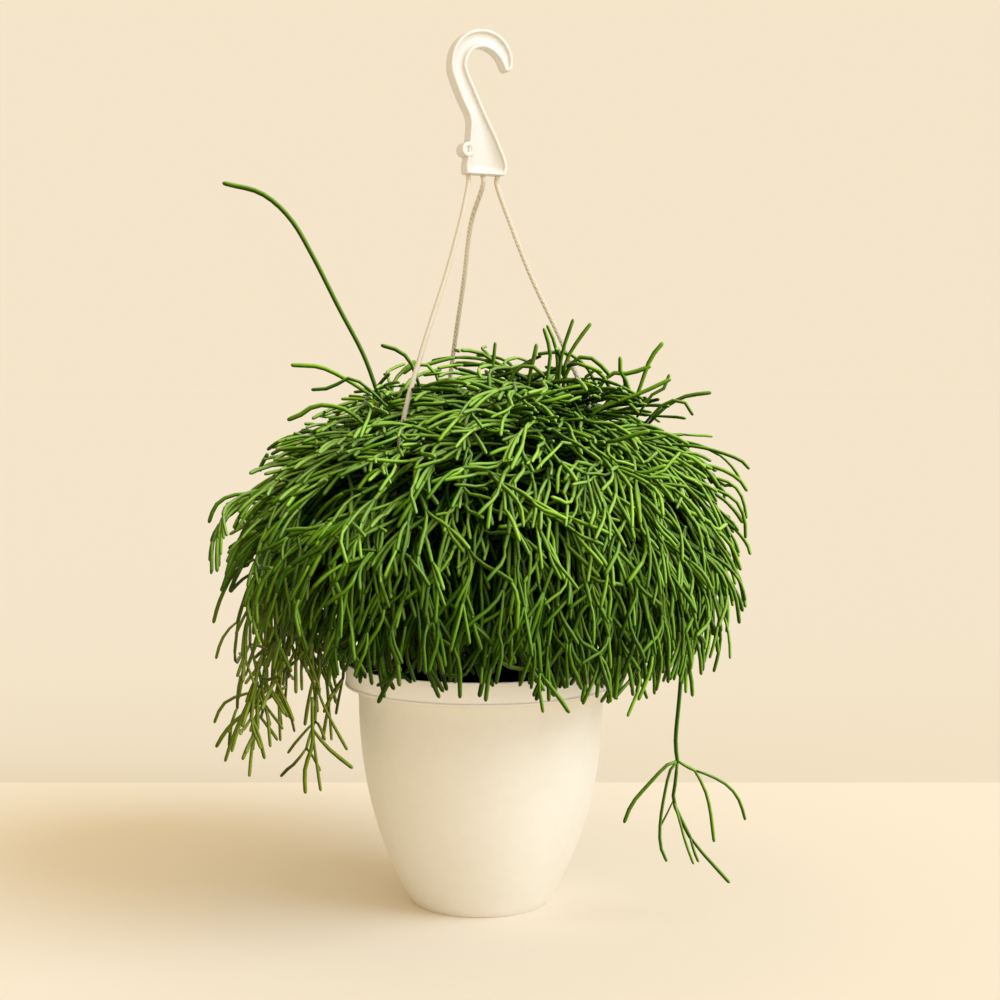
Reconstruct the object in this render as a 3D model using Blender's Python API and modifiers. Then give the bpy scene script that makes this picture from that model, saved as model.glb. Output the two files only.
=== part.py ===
"""A potted mistletoe cactus: leafless, jointed green stems that arch out of a plastic hanging pot.

Units are metres and +Z is up. The origin is the centre of the pot's foot, on the surface that it
stands on. -Y is the side that is seen from the front, and azimuths turn from +X towards +Y.
"""

import math

import bmesh
import bpy
import numpy as np
from mathutils import Matrix, Vector

MM = 0.001
GAP = 0.3 * MM

# Pot: a moulded wall, a flat foot and a stepped-out collar with a thin rim.
FOOT_RADIUS = 39 * MM
BODY_RADIUS = 67.6 * MM
RIM_RADIUS = 75 * MM
LEDGE_HEIGHT = 121.5 * MM
RIM_HEIGHT = 134 * MM
WALL = 1.7 * MM
FLOOR = 2.6 * MM
BULGE = 2.4
POT_SIDES = 36
DRAIN_RADIUS = 3 * MM
DRAIN_CIRCLE = 22 * MM
DRAIN_SIDES = 8
COLLAR_TAPER = 0.6 * MM
EDGE_BEVEL = 0.4 * MM
FOOT_BEVEL = 1 * MM
SEAT = 0.5 * MM

# Soil: fills the pot to just under the ledge of the collar.
SOIL_EDGE = 119.5 * MM
SOIL_CROWN = 123 * MM
SOIL_SIDES = 24
STEM_HOLE_RADIUS = 2.9 * MM
STEM_HOLE_DEPTH = 16 * MM
FOOT_RINGS = (42 * MM, 26 * MM)

# Hanger: a flat hook, turned about the upright, and three arms with a button at each foot.
HOOK_TURN = math.radians(26)
HOOK_BASE = 399 * MM
HOOK_THICKNESS = 8 * MM
HOOK_BORDER = 1.9 * MM
HOOK_RECESS = 1.1 * MM
RING_CENTRE = Vector((0.4 * MM, 457 * MM))
RING_RADIUS = 14.6 * MM
BOSS_CENTRE = Vector((-9.4 * MM, 412 * MM))
BOSS_RADIUS = 3.7 * MM
BOSS_SIDES = 12
DIMPLE_RADIUS = 1.5 * MM
DIMPLE_SIDES = 8
SOCKET_DEPTH = 6 * MM
SOCKET_OFFSETS = (10.2 * MM, 1.4 * MM, -7.4 * MM)
# Round the ring from its tip: angle in degrees and half width. Down the shank: x, z and half width.
RING_STATIONS = (
    (-8, 1.6), (10, 3.2), (32, 4.2), (60, 4.9), (90, 4.9), (120, 4.8), (150, 4.7), (180, 4.6), (203, 4.7),
)
SHANK_STATIONS = (
    (-8.4, 441, 4.9), (-3.0, 430, 5.0), (-0.3, 419.5, 7.9), (1.2, 411, 10.4), (2.2, 404, 12.3),
    (1.8, 399, 11.6),
)
ARM_RADIUS = 1.35 * MM
ARM_BOW = ((16, 374), (28, 344), (46, 306), (62, 266), (70, 215), (70.6, 165))
ARM_AZIMUTHS = (-10, 110, 230)
ARM_NAMES = ("right", "back", "left")
LUG_CIRCLE = 69.6 * MM
LUG_TOP = 131.5 * MM
LUG_HEIGHT = 4 * MM
LUG_WIDTH = 9 * MM
LUG_LIP = 3.4 * MM
BUTTON_RADIUS = 2.6 * MM
BUTTON_HEIGHT = 2.4 * MM
ARM_SIDES = 8

# Foliage: a flattened dome of stems over a skirt that hangs round the rim.
MOP_RADIUS = 139 * MM
MOP_HEIGHT = 92 * MM
REACH = 151 * MM
SHOULDER = 195 * MM
ROUNDNESS = 0.85
STEM_RADIUS = 1.75 * MM
TIP_SHARE = 0.6
FORK_ROOT_SHARE = 0.4
MAIN_STEM_RADIUS = 2.2 * MM
CORE_DEPTH = 12 * MM
CORE_THICKNESS = 4 * MM
CORE_SHARE = 0.9
PLEAT = 2.5 * MM
CORE_INNER = 0.15
CORE_OUTER = 1.2
RAGGED = 0.12
ROW_STEP = 0.17
STEM_SPACING = 21 * MM
CROWN_RADIUS = 34 * MM
GOLDEN_ANGLE = math.pi * (3 - math.sqrt(5))
BUNCHES = 12
BUNCH_ANGLE = 360 / BUNCHES
FIRST_BUNCH = ARM_AZIMUTHS[0]
STEM_CLEARANCE = 0.35 * MM
SHOOT_AZIMUTH = 185
SEED = 41

GREEN = (0.085, 0.235, 0.030)
CREAM = (0.820, 0.735, 0.565)
WHITE = (0.900, 0.850, 0.740)
PEAT = (0.020, 0.012, 0.007)


def clear_scene():
    for obj in list(bpy.data.objects):
        bpy.data.objects.remove(obj, do_unlink=True)


def new_collection(name, hidden=False):
    collection = bpy.data.collections.new(name)
    bpy.context.scene.collection.children.link(collection)
    collection.hide_render = hidden
    return collection


def new_material(name, colour, roughness):
    material = bpy.data.materials.new(name)
    material.use_nodes = True
    shader = material.node_tree.nodes["Principled BSDF"]
    shader.inputs["Base Color"].default_value = (*colour, 1)
    shader.inputs["Roughness"].default_value = roughness
    shader.inputs["Metallic"].default_value = 0
    return material


def add_object(name, data, collection, material=None):
    obj = bpy.data.objects.new(name, data)
    collection.objects.link(obj)
    if material:
        data.materials.append(material)
    return obj


def add_cutter(name, mesh, collection):
    cutter = add_object(name, mesh, collection)
    cutter.hide_render = True
    cutter.display_type = "WIRE"
    return cutter


def cylinder_mesh(name, radius, low, high, sides, place=Matrix()):
    """An upright cylinder between two heights, moved by the matrix."""
    bm = bmesh.new()
    middle = Matrix.Translation((0, 0, (low + high) / 2))
    bmesh.ops.create_cone(
        bm, cap_ends=True, segments=sides, radius1=radius, radius2=radius,
        depth=high - low, matrix=place @ middle,
    )
    mesh = bpy.data.meshes.new(name)
    bm.to_mesh(mesh)
    bm.free()
    return mesh


def box_mesh(name, sides, place):
    bm = bmesh.new()
    bmesh.ops.create_cube(bm, size=1, matrix=place @ Matrix.Diagonal((*sides, 1)))
    mesh = bpy.data.meshes.new(name)
    bm.to_mesh(mesh)
    bm.free()
    return mesh


def turned(name, profile, sides, collection, material):
    """A profile of (radius, height) points, from the axis back to the axis, swept round +Z."""
    mesh = bpy.data.meshes.new(name)
    points = [(radius, 0, height) for radius, height in profile]
    mesh.from_pydata(points, [(i, i + 1) for i in range(len(points) - 1)], [])
    obj = add_object(name, mesh, collection, material)
    screw = obj.modifiers.new("Turn", "SCREW")
    screw.steps = screw.render_steps = sides
    screw.use_merge_vertices = True
    screw.merge_threshold = 0.00001
    return obj


def weld(mesh):
    """Joins a curve's loose caps to its sides."""
    bm = bmesh.new()
    bm.from_mesh(mesh)
    bmesh.ops.remove_doubles(bm, verts=bm.verts, dist=0.00001)
    bm.to_mesh(mesh)
    bm.free()


def evaluated_mesh(obj):
    """The object's mesh with its modifiers and bevels made real."""
    graph = bpy.context.evaluated_depsgraph_get()
    return bpy.data.meshes.new_from_object(obj.evaluated_get(graph))


def as_mesh_object(obj, collection, material):
    """Replaces a curve or a modified object by a plain mesh object with the same name and place."""
    name, place = obj.name, obj.matrix_world.copy()
    mesh = evaluated_mesh(obj)
    weld(mesh)
    mesh.materials.clear()
    bpy.data.objects.remove(obj, do_unlink=True)
    made = add_object(name, mesh, collection, material)
    made.matrix_world = place
    return made


def cut(obj, cutters, operation="DIFFERENCE", solver="EXACT"):
    modifier = obj.modifiers.new("Cut", "BOOLEAN")
    modifier.operation = operation
    modifier.operand_type = "COLLECTION"
    modifier.collection = cutters
    modifier.solver = solver


def wall_radius(height):
    """Radius of the pot's outer wall: widens quickly above the foot, then stands nearly upright."""
    share = max(0.0, 1 - height / LEDGE_HEIGHT)
    return BODY_RADIUS - (BODY_RADIUS - FOOT_RADIUS) * share**BULGE


def at_azimuth(degrees, radius, height):
    angle = math.radians(degrees)
    return Vector((radius * math.cos(angle), radius * math.sin(angle), height))


def make_pot(collection, material):
    heights = [LEDGE_HEIGHT * share for share in (0.09, 0.22, 0.4, 0.62, 0.84)]
    outer = [(wall_radius(z), z) for z in heights]
    inner = [(radius - WALL, z) for radius, z in outer]
    collar = [
        (BODY_RADIUS - WALL, LEDGE_HEIGHT + WALL),
        (RIM_RADIUS - COLLAR_TAPER - WALL, LEDGE_HEIGHT + WALL),
        (RIM_RADIUS - WALL, RIM_HEIGHT),
        (RIM_RADIUS - EDGE_BEVEL, RIM_HEIGHT),
        (RIM_RADIUS, RIM_HEIGHT - EDGE_BEVEL),
        (RIM_RADIUS - EDGE_BEVEL, LEDGE_HEIGHT + EDGE_BEVEL),
        (RIM_RADIUS - 2 * EDGE_BEVEL, LEDGE_HEIGHT),
        (BODY_RADIUS, LEDGE_HEIGHT),
    ]
    foot = [(FOOT_RADIUS, FOOT_BEVEL), (FOOT_RADIUS - FOOT_BEVEL, 0), (0, 0)]
    floor = [(0, FLOOR), (FOOT_RADIUS - WALL - FOOT_BEVEL, FLOOR)]
    pot = turned("pot", floor + inner + collar + outer[::-1] + foot, POT_SIDES, collection, material)

    lugs = new_collection("lugs", hidden=True)
    holes = new_collection("pot_holes", hidden=True)
    for azimuth in ARM_AZIMUTHS:
        turn = Matrix.Rotation(math.radians(azimuth), 4, "Z")
        inner, outer = LUG_CIRCLE - LUG_LIP, RIM_RADIUS - WALL / 2
        place = turn @ Matrix.Translation(((inner + outer) / 2, 0, LUG_TOP - LUG_HEIGHT / 2))
        add_cutter("lug", box_mesh("lug", (outer - inner, LUG_WIDTH, LUG_HEIGHT), place), lugs)
        bore = cylinder_mesh(
            "arm_hole", ARM_RADIUS + GAP, LUG_TOP - LUG_HEIGHT - MM, LUG_TOP + MM, ARM_SIDES,
            turn @ Matrix.Translation((LUG_CIRCLE, 0, 0)),
        )
        add_cutter("arm_hole", bore, holes)
    for quarter in range(4):
        centre = at_azimuth(45 + 90 * quarter, DRAIN_CIRCLE, 0)
        drain = cylinder_mesh(
            "drain", DRAIN_RADIUS, -MM, FLOOR + MM, DRAIN_SIDES, Matrix.Translation(centre)
        )
        add_cutter("drain", drain, holes)
    cut(pot, lugs, "UNION")
    cut(pot, holes)
    return pot


def stem_feet():
    """Where each bunch's main stem stands in the soil: the crown's in the middle, the rest on two rings."""
    feet = {"crown": Vector((0, 0, 0))}
    for index in range(BUNCHES):
        azimuth = FIRST_BUNCH + BUNCH_ANGLE * (index + 0.5)
        feet[index] = at_azimuth(azimuth, FOOT_RINGS[index % 2], 0)
    return feet


def soil_height(radius):
    return SOIL_CROWN - (SOIL_CROWN - SOIL_EDGE) * (radius / BODY_RADIUS) ** 2


def make_soil(collection, material):
    margin = WALL + SEAT
    low = FLOOR + GAP
    edge = wall_radius(SOIL_EDGE) - margin
    top = [(share * edge, soil_height(share * edge)) for share in (0, 0.35, 0.7, 1)]
    side = [(wall_radius(z) - margin - SEAT, z) for z in (60 * MM, 10 * MM)]
    bottom = [(FOOT_RADIUS - WALL - FOOT_BEVEL - 2 * SEAT, low), (0, low)]
    soil = turned("soil", top + side + bottom, SOIL_SIDES, collection, material)
    holes = new_collection("stem_holes", hidden=True)
    for foot in stem_feet().values():
        surface = soil_height(foot.length)
        hole = cylinder_mesh(
            "stem_hole", STEM_HOLE_RADIUS, surface - STEM_HOLE_DEPTH, surface + 5 * MM, 6,
            Matrix.Translation(foot),
        )
        add_cutter("stem_hole", hole, holes)
    cut(soil, holes)
    return soil


def smooth_path(points, pieces):
    """Catmull-Rom curve through the points, with a number of pieces between each pair."""
    points = np.array([tuple(p) for p in points])
    ends = np.vstack([2 * points[0] - points[1], points, 2 * points[-1] - points[-2]])
    share = (np.arange(pieces) / pieces)[:, None]
    path = []
    for before, start, stop, after in zip(ends, ends[1:], ends[2:], ends[3:]):
        path.append(
            start
            + share * (stop - before) / 2
            + share**2 * (before - 2.5 * start + 2 * stop - after / 2)
            + share**3 * (1.5 * (start - stop) + (after - before) / 2)
        )
    return np.vstack([*path, points[-1:]])


def hook_outline(inset):
    """The hook's edge in its own plane: a band round a ring and down a widening shank.

    The band is a centre line with a half width at each point, less the inset.
    """
    ring = [Vector((RING_RADIUS, 0)) for _ in RING_STATIONS]
    for spoke, (degrees, _) in zip(ring, RING_STATIONS):
        spoke.rotate(Matrix.Rotation(math.radians(degrees), 2))
    ring = [tuple(RING_CENTRE + spoke) for spoke in ring]
    shank = [(x * MM, z * MM) for x, z, _ in SHANK_STATIONS]
    shank[-1] = (shank[-1][0], HOOK_BASE + inset)
    half_widths = [(station[-1] * MM, 0) for station in RING_STATIONS + SHANK_STATIONS]
    centre = smooth_path(ring + shank, 2)
    width = smooth_path(half_widths, 2)[:, 0]
    along = np.gradient(centre, axis=0)
    along /= np.linalg.norm(along, axis=1)[:, None]
    along[-3:] = (0, -1)
    across = np.stack([along[:, 1], -along[:, 0]], axis=1)
    width = np.maximum(width - inset, GAP)[:, None]
    first = 2 if inset else 0
    right = (centre - across * width)[first:]
    left = (centre + across * width)[first:]
    return np.vstack([right, left[::-1]])


def flat_plate(name, outline, thickness, collection):
    """A closed outline in the XZ plane, as thick as given, centred on that plane."""
    curve = bpy.data.curves.new(name, "CURVE")
    curve.dimensions = "2D"
    curve.fill_mode = "BOTH"
    curve.extrude = thickness / 2
    spline = curve.splines.new("POLY")
    spline.points.add(len(outline) - 1)
    for point, (x, z) in zip(spline.points, outline):
        point.co = (x, z, 0, 1)
    spline.use_cyclic_u = True
    obj = add_object(name, curve, collection)
    obj.matrix_world = Matrix.Rotation(math.pi / 2, 4, "X")
    bpy.context.view_layer.update()
    return obj


def make_hook(collection, material):
    upright = Matrix.Rotation(HOOK_TURN, 4, "Z")
    plate = flat_plate("hanger_hook", hook_outline(0), HOOK_THICKNESS, collection)
    hook = as_mesh_object(plate, collection, material)
    bosses = new_collection("hook_boss", hidden=True)
    holes = new_collection("hook_cuts", hidden=True)
    to_face = Matrix.Rotation(math.pi / 2, 4, "X")
    boss_place = Matrix.Translation((BOSS_CENTRE.x, 0, BOSS_CENTRE.y)) @ to_face
    half = HOOK_THICKNESS / 2
    for side in (-1, 1):
        channel = flat_plate("channel", hook_outline(HOOK_BORDER), 2 * HOOK_RECESS, holes)
        channel = as_mesh_object(channel, holes, material)
        channel.matrix_world = (
            upright @ Matrix.Translation((0, side * half, 0)) @ channel.matrix_world
        )
        channel.hide_render = True
        channel.display_type = "WIRE"
        dimple = cylinder_mesh(
            "dimple", DIMPLE_RADIUS, side * half - HOOK_RECESS, side * half + HOOK_RECESS,
            DIMPLE_SIDES, boss_place,
        )
        add_cutter("dimple", dimple, holes).matrix_world = upright
    boss = cylinder_mesh("boss", BOSS_RADIUS, -half - GAP, half + GAP, BOSS_SIDES, boss_place)
    add_cutter("boss", boss, bosses).matrix_world = upright
    for offset in SOCKET_OFFSETS:
        socket = cylinder_mesh(
            "socket", ARM_RADIUS + SEAT, HOOK_BASE - MM, HOOK_BASE + SOCKET_DEPTH, ARM_SIDES,
            Matrix.Translation((offset, 0, 0)),
        )
        add_cutter("socket", socket, holes).matrix_world = upright
    hook.matrix_world = upright @ hook.matrix_world
    # The recess is cut first, so that the boss stands full height out of it.
    channels = new_collection("hook_channels", hidden=True)
    for obj in [o for o in holes.objects if o.name.startswith("channel")]:
        holes.objects.unlink(obj)
        channels.objects.link(obj)
    cut(hook, channels, solver="MANIFOLD")
    cut(hook, bosses, "UNION", "MANIFOLD")
    cut(hook, holes, solver="MANIFOLD")
    return hook


def arm_route(azimuth, offset):
    """One arm's centre line: down out of its socket, bowed over the foliage, then down to its lug."""
    turn = Matrix.Rotation(HOOK_TURN, 3, "Z")
    socket = turn @ Vector((offset, 0, 0))
    heights = (HOOK_BASE + SOCKET_DEPTH - GAP, HOOK_BASE, HOOK_BASE - 6 * MM)
    top = [socket + Vector((0, 0, z)) for z in heights]
    bow = [at_azimuth(azimuth, radius * MM, z * MM) for radius, z in ARM_BOW]
    end = at_azimuth(azimuth, LUG_CIRCLE, LUG_TOP + 2 * MM)
    return smooth_path(top + bow + [end], 2)


def make_arm(name, azimuth, offset, collection, material):
    route = [Vector(p) for p in arm_route(azimuth, offset)]
    below = LUG_TOP - LUG_HEIGHT - GAP
    foot = at_azimuth(azimuth, LUG_CIRCLE, 0)
    button = [(below, 1), (below - 0.1 * MM, BUTTON_RADIUS / ARM_RADIUS)]
    button.append((below - BUTTON_HEIGHT, BUTTON_RADIUS / ARM_RADIUS))
    points = [(p, 1) for p in route] + [(foot + Vector((0, 0, z)), r) for z, r in button]
    curve = bpy.data.curves.new(name, "CURVE")
    curve.dimensions = "3D"
    curve.bevel_depth = ARM_RADIUS
    curve.bevel_resolution = ARM_SIDES // 2 - 2
    curve.use_fill_caps = True
    spline = curve.splines.new("POLY")
    spline.points.add(len(points) - 1)
    for point, (co, radius) in zip(spline.points, points):
        point.co = (*co, 1)
        point.radius = radius
    return add_object(name, curve, collection, material)


def mop_height(azimuth):
    """Height of the dome over its shoulder, lower at the front left where an arm presses on it."""
    turn = (np.degrees(azimuth) - 235 + 180) % 360 - 180
    return MOP_HEIGHT * (1 - 0.13 * np.exp(-((turn / 24) ** 2)))


def mop_drop(azimuth):
    """How far the skirt hangs below the shoulder, in the azimuth's direction."""
    return (60 + 12 * np.cos(azimuth) + 8 * np.sin(azimuth)) * MM


def mop_point(slope, azimuth, depth):
    """A point under the mop's surface: slope 0 is the crown, 1 the shoulder and 2 the skirt's end."""
    angle = np.clip(slope, 0, 1) * np.pi / 2
    hang = np.maximum(slope - 1, 0) * mop_drop(azimuth)
    radius = (MOP_RADIUS - depth) * np.sin(angle) ** ROUNDNESS
    height = SHOULDER + (mop_height(azimuth) - depth) * np.cos(angle) ** ROUNDNESS - hang
    return np.stack([radius * np.cos(azimuth), radius * np.sin(azimuth), height], axis=-1)


def mop_frame(points):
    """Down-slope, sideways and outward directions at each point, and its depth under the surface."""
    azimuth = np.arctan2(points[:, 1], points[:, 0])
    across = np.hypot(points[:, 0], points[:, 1]) / MOP_RADIUS
    above = np.maximum(points[:, 2] - SHOULDER, 0) / mop_height(azimuth)
    power = 1 / ROUNDNESS
    angle = np.arctan2(across**power, above**power)
    size = (across ** (2 * power) + above ** (2 * power)) ** (ROUNDNESS / 2)
    depth = (1 - size) * MOP_RADIUS
    side = np.stack([-np.sin(azimuth), np.cos(azimuth), 0 * azimuth], axis=1)
    out = np.stack([np.cos(azimuth), np.sin(azimuth), 0 * azimuth], axis=1) * np.sin(angle)[:, None]
    out[:, 2] = np.cos(angle)
    return np.cross(side, out), side, out, depth


def unit(vectors):
    return vectors / np.linalg.norm(vectors, axis=1)[:, None]


def turned_in_slope(heading, out, angle, lift):
    """Headings turned about the outward direction by an angle, then tipped outwards."""
    across = np.cross(out, heading)
    spun = heading * np.cos(angle)[:, None] + across * np.sin(angle)[:, None]
    return unit(spun + out * lift[:, None])


def walk(start, heading, length, steps, fall, cling):
    """Grows stems over the mop, all at once: each step turns towards the fall line and the surface."""
    points = [start]
    step = (length / steps)[:, None]
    for _ in range(steps):
        points.append(points[-1] + heading * step)
        down, _, out, depth = mop_frame(points[-1])
        pull = down * fall + out * (np.clip(depth, -12 * MM, 12 * MM) * cling)[:, None]
        heading = unit(heading + pull * step)
    return np.stack(points, axis=1), heading


def keep_in_wedge(points, low, high, low_margin, high_margin):
    """Moves points sideways until they are clear of the upright planes at two azimuths."""
    points = points.copy()
    for azimuth, sign, margin in ((low, 1, low_margin), (high, -1, high_margin)):
        normal = np.array([-math.sin(azimuth), math.cos(azimuth)]) * sign
        short = np.maximum(margin - points[..., :2] @ normal, 0)
        points[..., :2] += short[..., None] * normal
    return points


def keep_between(points, inner, outer):
    """Moves points towards or away from the axis until they are between two radii."""
    points = points.copy()
    radius = np.maximum(np.hypot(points[..., 0], points[..., 1]), MM)
    points[..., :2] *= (np.clip(radius, inner, outer) / radius)[..., None]
    return points


def stem_curve(name, points, radii, section, collection):
    curve = bpy.data.curves.new(name, "CURVE")
    curve.dimensions = "3D"
    curve.bevel_mode = "OBJECT"
    curve.bevel_object = section
    curve.use_fill_caps = True
    spline = curve.splines.new("POLY")
    spline.points.add(len(points) - 1)
    for point, co, radius in zip(spline.points, points, radii):
        point.co = (*co, 1)
        point.radius = radius
    return add_object(name, curve, collection)


def stem_section(guides):
    """The three-sided cross-section that every stem is drawn with, one unit of radius wide."""
    curve = bpy.data.curves.new("stem_section", "CURVE")
    spline = curve.splines.new("POLY")
    spline.points.add(2)
    for corner, point in enumerate(spline.points):
        angle = -2 * math.pi * corner / 3
        point.co = (math.cos(angle), math.sin(angle), 0, 1)
    spline.use_cyclic_u = True
    section = add_object("stem_section", curve, guides)
    section.hide_render = True
    return section


def bunch_core(low, high, edges):
    """A thin pleated sheet under the stems of one bunch, which they stand out of."""
    rows, columns = 7, 6
    bm = bmesh.new()
    bmesh.ops.create_grid(bm, x_segments=rows - 1, y_segments=columns - 1, size=0.5)
    places = np.array([tuple(v.co) for v in bm.verts])
    ridge = (-1) ** np.round((places[:, 1] + 0.5) * (columns - 1))
    slope = CORE_INNER + (CORE_OUTER + RAGGED * ridge - CORE_INNER) * (places[:, 0] + 0.5)
    azimuth = (low + high) / 2 + (high - low) * CORE_SHARE * places[:, 1]
    pleat = PLEAT * ridge * np.sin(np.clip(slope, 0, 1) * np.pi / 2)
    points = keep_in_wedge(mop_point(slope, azimuth, CORE_DEPTH + pleat), low, high, *edges)
    for vertex, point in zip(bm.verts, points):
        vertex.co = point
    bmesh.ops.recalc_face_normals(bm, faces=bm.faces)
    middle = bm.faces[:][len(bm.faces) // 2]
    if middle.normal.dot(middle.calc_center_median() - Vector((0, 0, SHOULDER))) < 0:
        bmesh.ops.reverse_faces(bm, faces=bm.faces)
    mesh = bpy.data.meshes.new("core")
    bm.to_mesh(mesh)
    bm.free()
    return mesh


def fused(name, core, stems, collection, material):
    """One Boolean union of the core and its stems, applied, with sealed hollows and scraps removed."""
    union = core.modifiers.new("Fuse", "BOOLEAN")
    union.operation = "UNION"
    union.operand_type = "COLLECTION"
    union.collection = stems
    union.solver = "MANIFOLD"
    mesh = evaluated_mesh(core)
    for obj in list(stems.objects) + [core]:
        bpy.data.objects.remove(obj, do_unlink=True)
    bpy.data.collections.remove(stems)
    keep_largest_body(mesh)
    mesh.materials.clear()
    return add_object(name, mesh, collection, material)


def keep_largest_body(mesh):
    bm = bmesh.new()
    bm.from_mesh(mesh)
    unseen = set(bm.faces)
    bodies = []
    while unseen:
        body, edge_of = set(), [unseen.pop()]
        while edge_of:
            face = edge_of.pop()
            body.add(face)
            for edge in face.edges:
                near = [f for f in edge.link_faces if f in unseen]
                unseen.difference_update(near)
                edge_of.extend(near)
        bodies.append(body)
    largest = max(bodies, key=len)
    scraps = [face for body in bodies if body is not largest for face in body]
    bmesh.ops.delete(bm, geom=scraps, context="FACES")
    bmesh.ops.triangulate(bm, faces=bm.faces)
    bm.to_mesh(mesh)
    bm.free()


def joint_radii(count):
    """Radii along one joint of stem: full, with a blunt narrower tip, and a waist where a fork starts."""
    radii = np.full(count, STEM_RADIUS)
    radii[-1] *= TIP_SHARE
    if count == 2:
        radii[0] *= FORK_ROOT_SHARE
    return radii


def shoots(rng, start, heading, length, steps, branches, fall, cling):
    """Bent leading stems, with shorter joints that fork off their knees, the lowest knee first."""
    leaders, _ = walk(start, heading, length, steps, fall, cling)
    owner = np.repeat(np.arange(len(start)), branches)
    rank = np.concatenate([np.arange(n) for n in branches])
    knee = leaders[owner, steps - 1 - rank]
    along = unit(leaders[owner, steps - rank] - knee)
    _, _, out, _ = mop_frame(knee)
    side = np.where((owner + rank) % 2, 1, -1) * rng.uniform(0.4, 0.65, len(owner))
    heading = turned_in_slope(along, out, side, rng.uniform(-0.2, 0.1, len(owner)))
    reach = rng.uniform(22, 36, (len(owner), 1)) * MM
    forks = np.stack([knee, knee + heading * reach], axis=1)
    return list(leaders) + list(forks)


def bunch_stems(rng, middle, half):
    """Rows of stems down the slope of one bunch, rooted in its core and fanned out to its full width."""
    slopes, across = [], []
    for slope in np.arange(CORE_INNER + 0.03, CORE_OUTER, ROW_STEP):
        radius = MOP_RADIUS * math.sin(min(slope, 1) * math.pi / 2) ** ROUNDNESS
        count = max(2, round(2 * half * radius / STEM_SPACING))
        across.extend((np.arange(count) + 0.5 + rng.uniform(-0.25, 0.25, count)) / count * 2 - 1)
        slopes.extend(slope + rng.uniform(-0.05, 0.05, count))
    slopes, across = np.array(slopes), np.array(across)
    count = len(slopes)
    azimuth = middle + across * half * CORE_SHARE * 0.9
    start = mop_point(slopes, azimuth, np.full(count, CORE_DEPTH + CORE_THICKNESS / 2))
    on_dome = np.clip(1 - slopes, 0, 1)
    sway = np.clip(rng.normal(0, 1, count), -1.5, 1.5) * (0.14 + 0.4 * on_dome)
    riser = (rng.random(count) < 0.3) * on_dome
    down, _, out, _ = mop_frame(start)
    heading = turned_in_slope(down, out, sway + 0.15 * across, 0.3 + 0.8 * riser)
    length = rng.uniform(52, 68, count) * MM
    return shoots(rng, start, heading, length, 3, rng.integers(0, 2, count), 14, 700)


def trailing_stems(rng, middle, half):
    """Long forked stems that hang below the skirt on the left."""
    count = 4
    azimuth = middle + half * CORE_SHARE * np.linspace(-0.8, 0.8, count)
    start = mop_point(np.full(count, 1.15), azimuth, np.full(count, CORE_DEPTH + CORE_THICKNESS / 2))
    sway = rng.normal(0, 0.12, count) + np.linspace(-0.2, 0.2, count)
    down, _, out, _ = mop_frame(start)
    heading = turned_in_slope(down, out, sway, rng.uniform(-0.25, 0.2, count))
    length = rng.uniform(100, 128, count) * MM
    return shoots(rng, start, heading, length, 4, np.full(count, 3), 6, 60)


def long_shoot():
    """The one shoot that stands up and arches away to the upper left."""
    route = [(50, 264), (56, 280), (64, 302), (77, 327), (91, 355), (103, 375), (118, 388), (137, 393)]
    return np.array([at_azimuth(SHOOT_AZIMUTH, radius * MM, z * MM) for radius, z in route])


def trailing_branch():
    """The stem that hangs below the foliage at the right and forks in a whorl near its end."""
    front = -50
    tree = [
        [(114, 186), (108, 160), (105, 125), (103, 93), (104, 87)],
        [(104, 87), (92, 82), (84, 72), (76, 59)],
        [(104, 87), (97, 72), (95, 49), (97, 37)],
        [(104, 87), (103, 66), (113, 45)],
        [(113, 45), (124, 31), (131, 22)],
        [(103, 66), (108, 51), (111, 34)],
        [(104, 87), (114, 83), (121, 66), (123, 47)],
        [(114, 83), (129, 77), (138, 66), (145, 57)],
    ]
    return [np.array([(x * MM, front * MM, z * MM) for x, z in strand]) for strand in tree]


def main_stem(foot, top):
    """One main stem: upright out of the soil, then bent to the core over it."""
    low = soil_height(foot.length) - STEM_HOLE_DEPTH + GAP
    upright = Vector((foot.x, foot.y, SOIL_CROWN + 8 * MM))
    bend = upright.lerp(Vector(top), 0.55) + Vector((0, 0, 22 * MM))
    return np.array([(foot.x, foot.y, low), tuple(upright), tuple(bend), tuple(top)])


def margins(index):
    """Distances that a bunch keeps to its two bounding planes, wider where a hanger arm runs."""
    beside_arm = [(index + end) % (BUNCHES // 3) == 0 for end in (0, 1)]
    return [STEM_CLEARANCE + (ARM_RADIUS if beside else 0) for beside in beside_arm]


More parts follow.
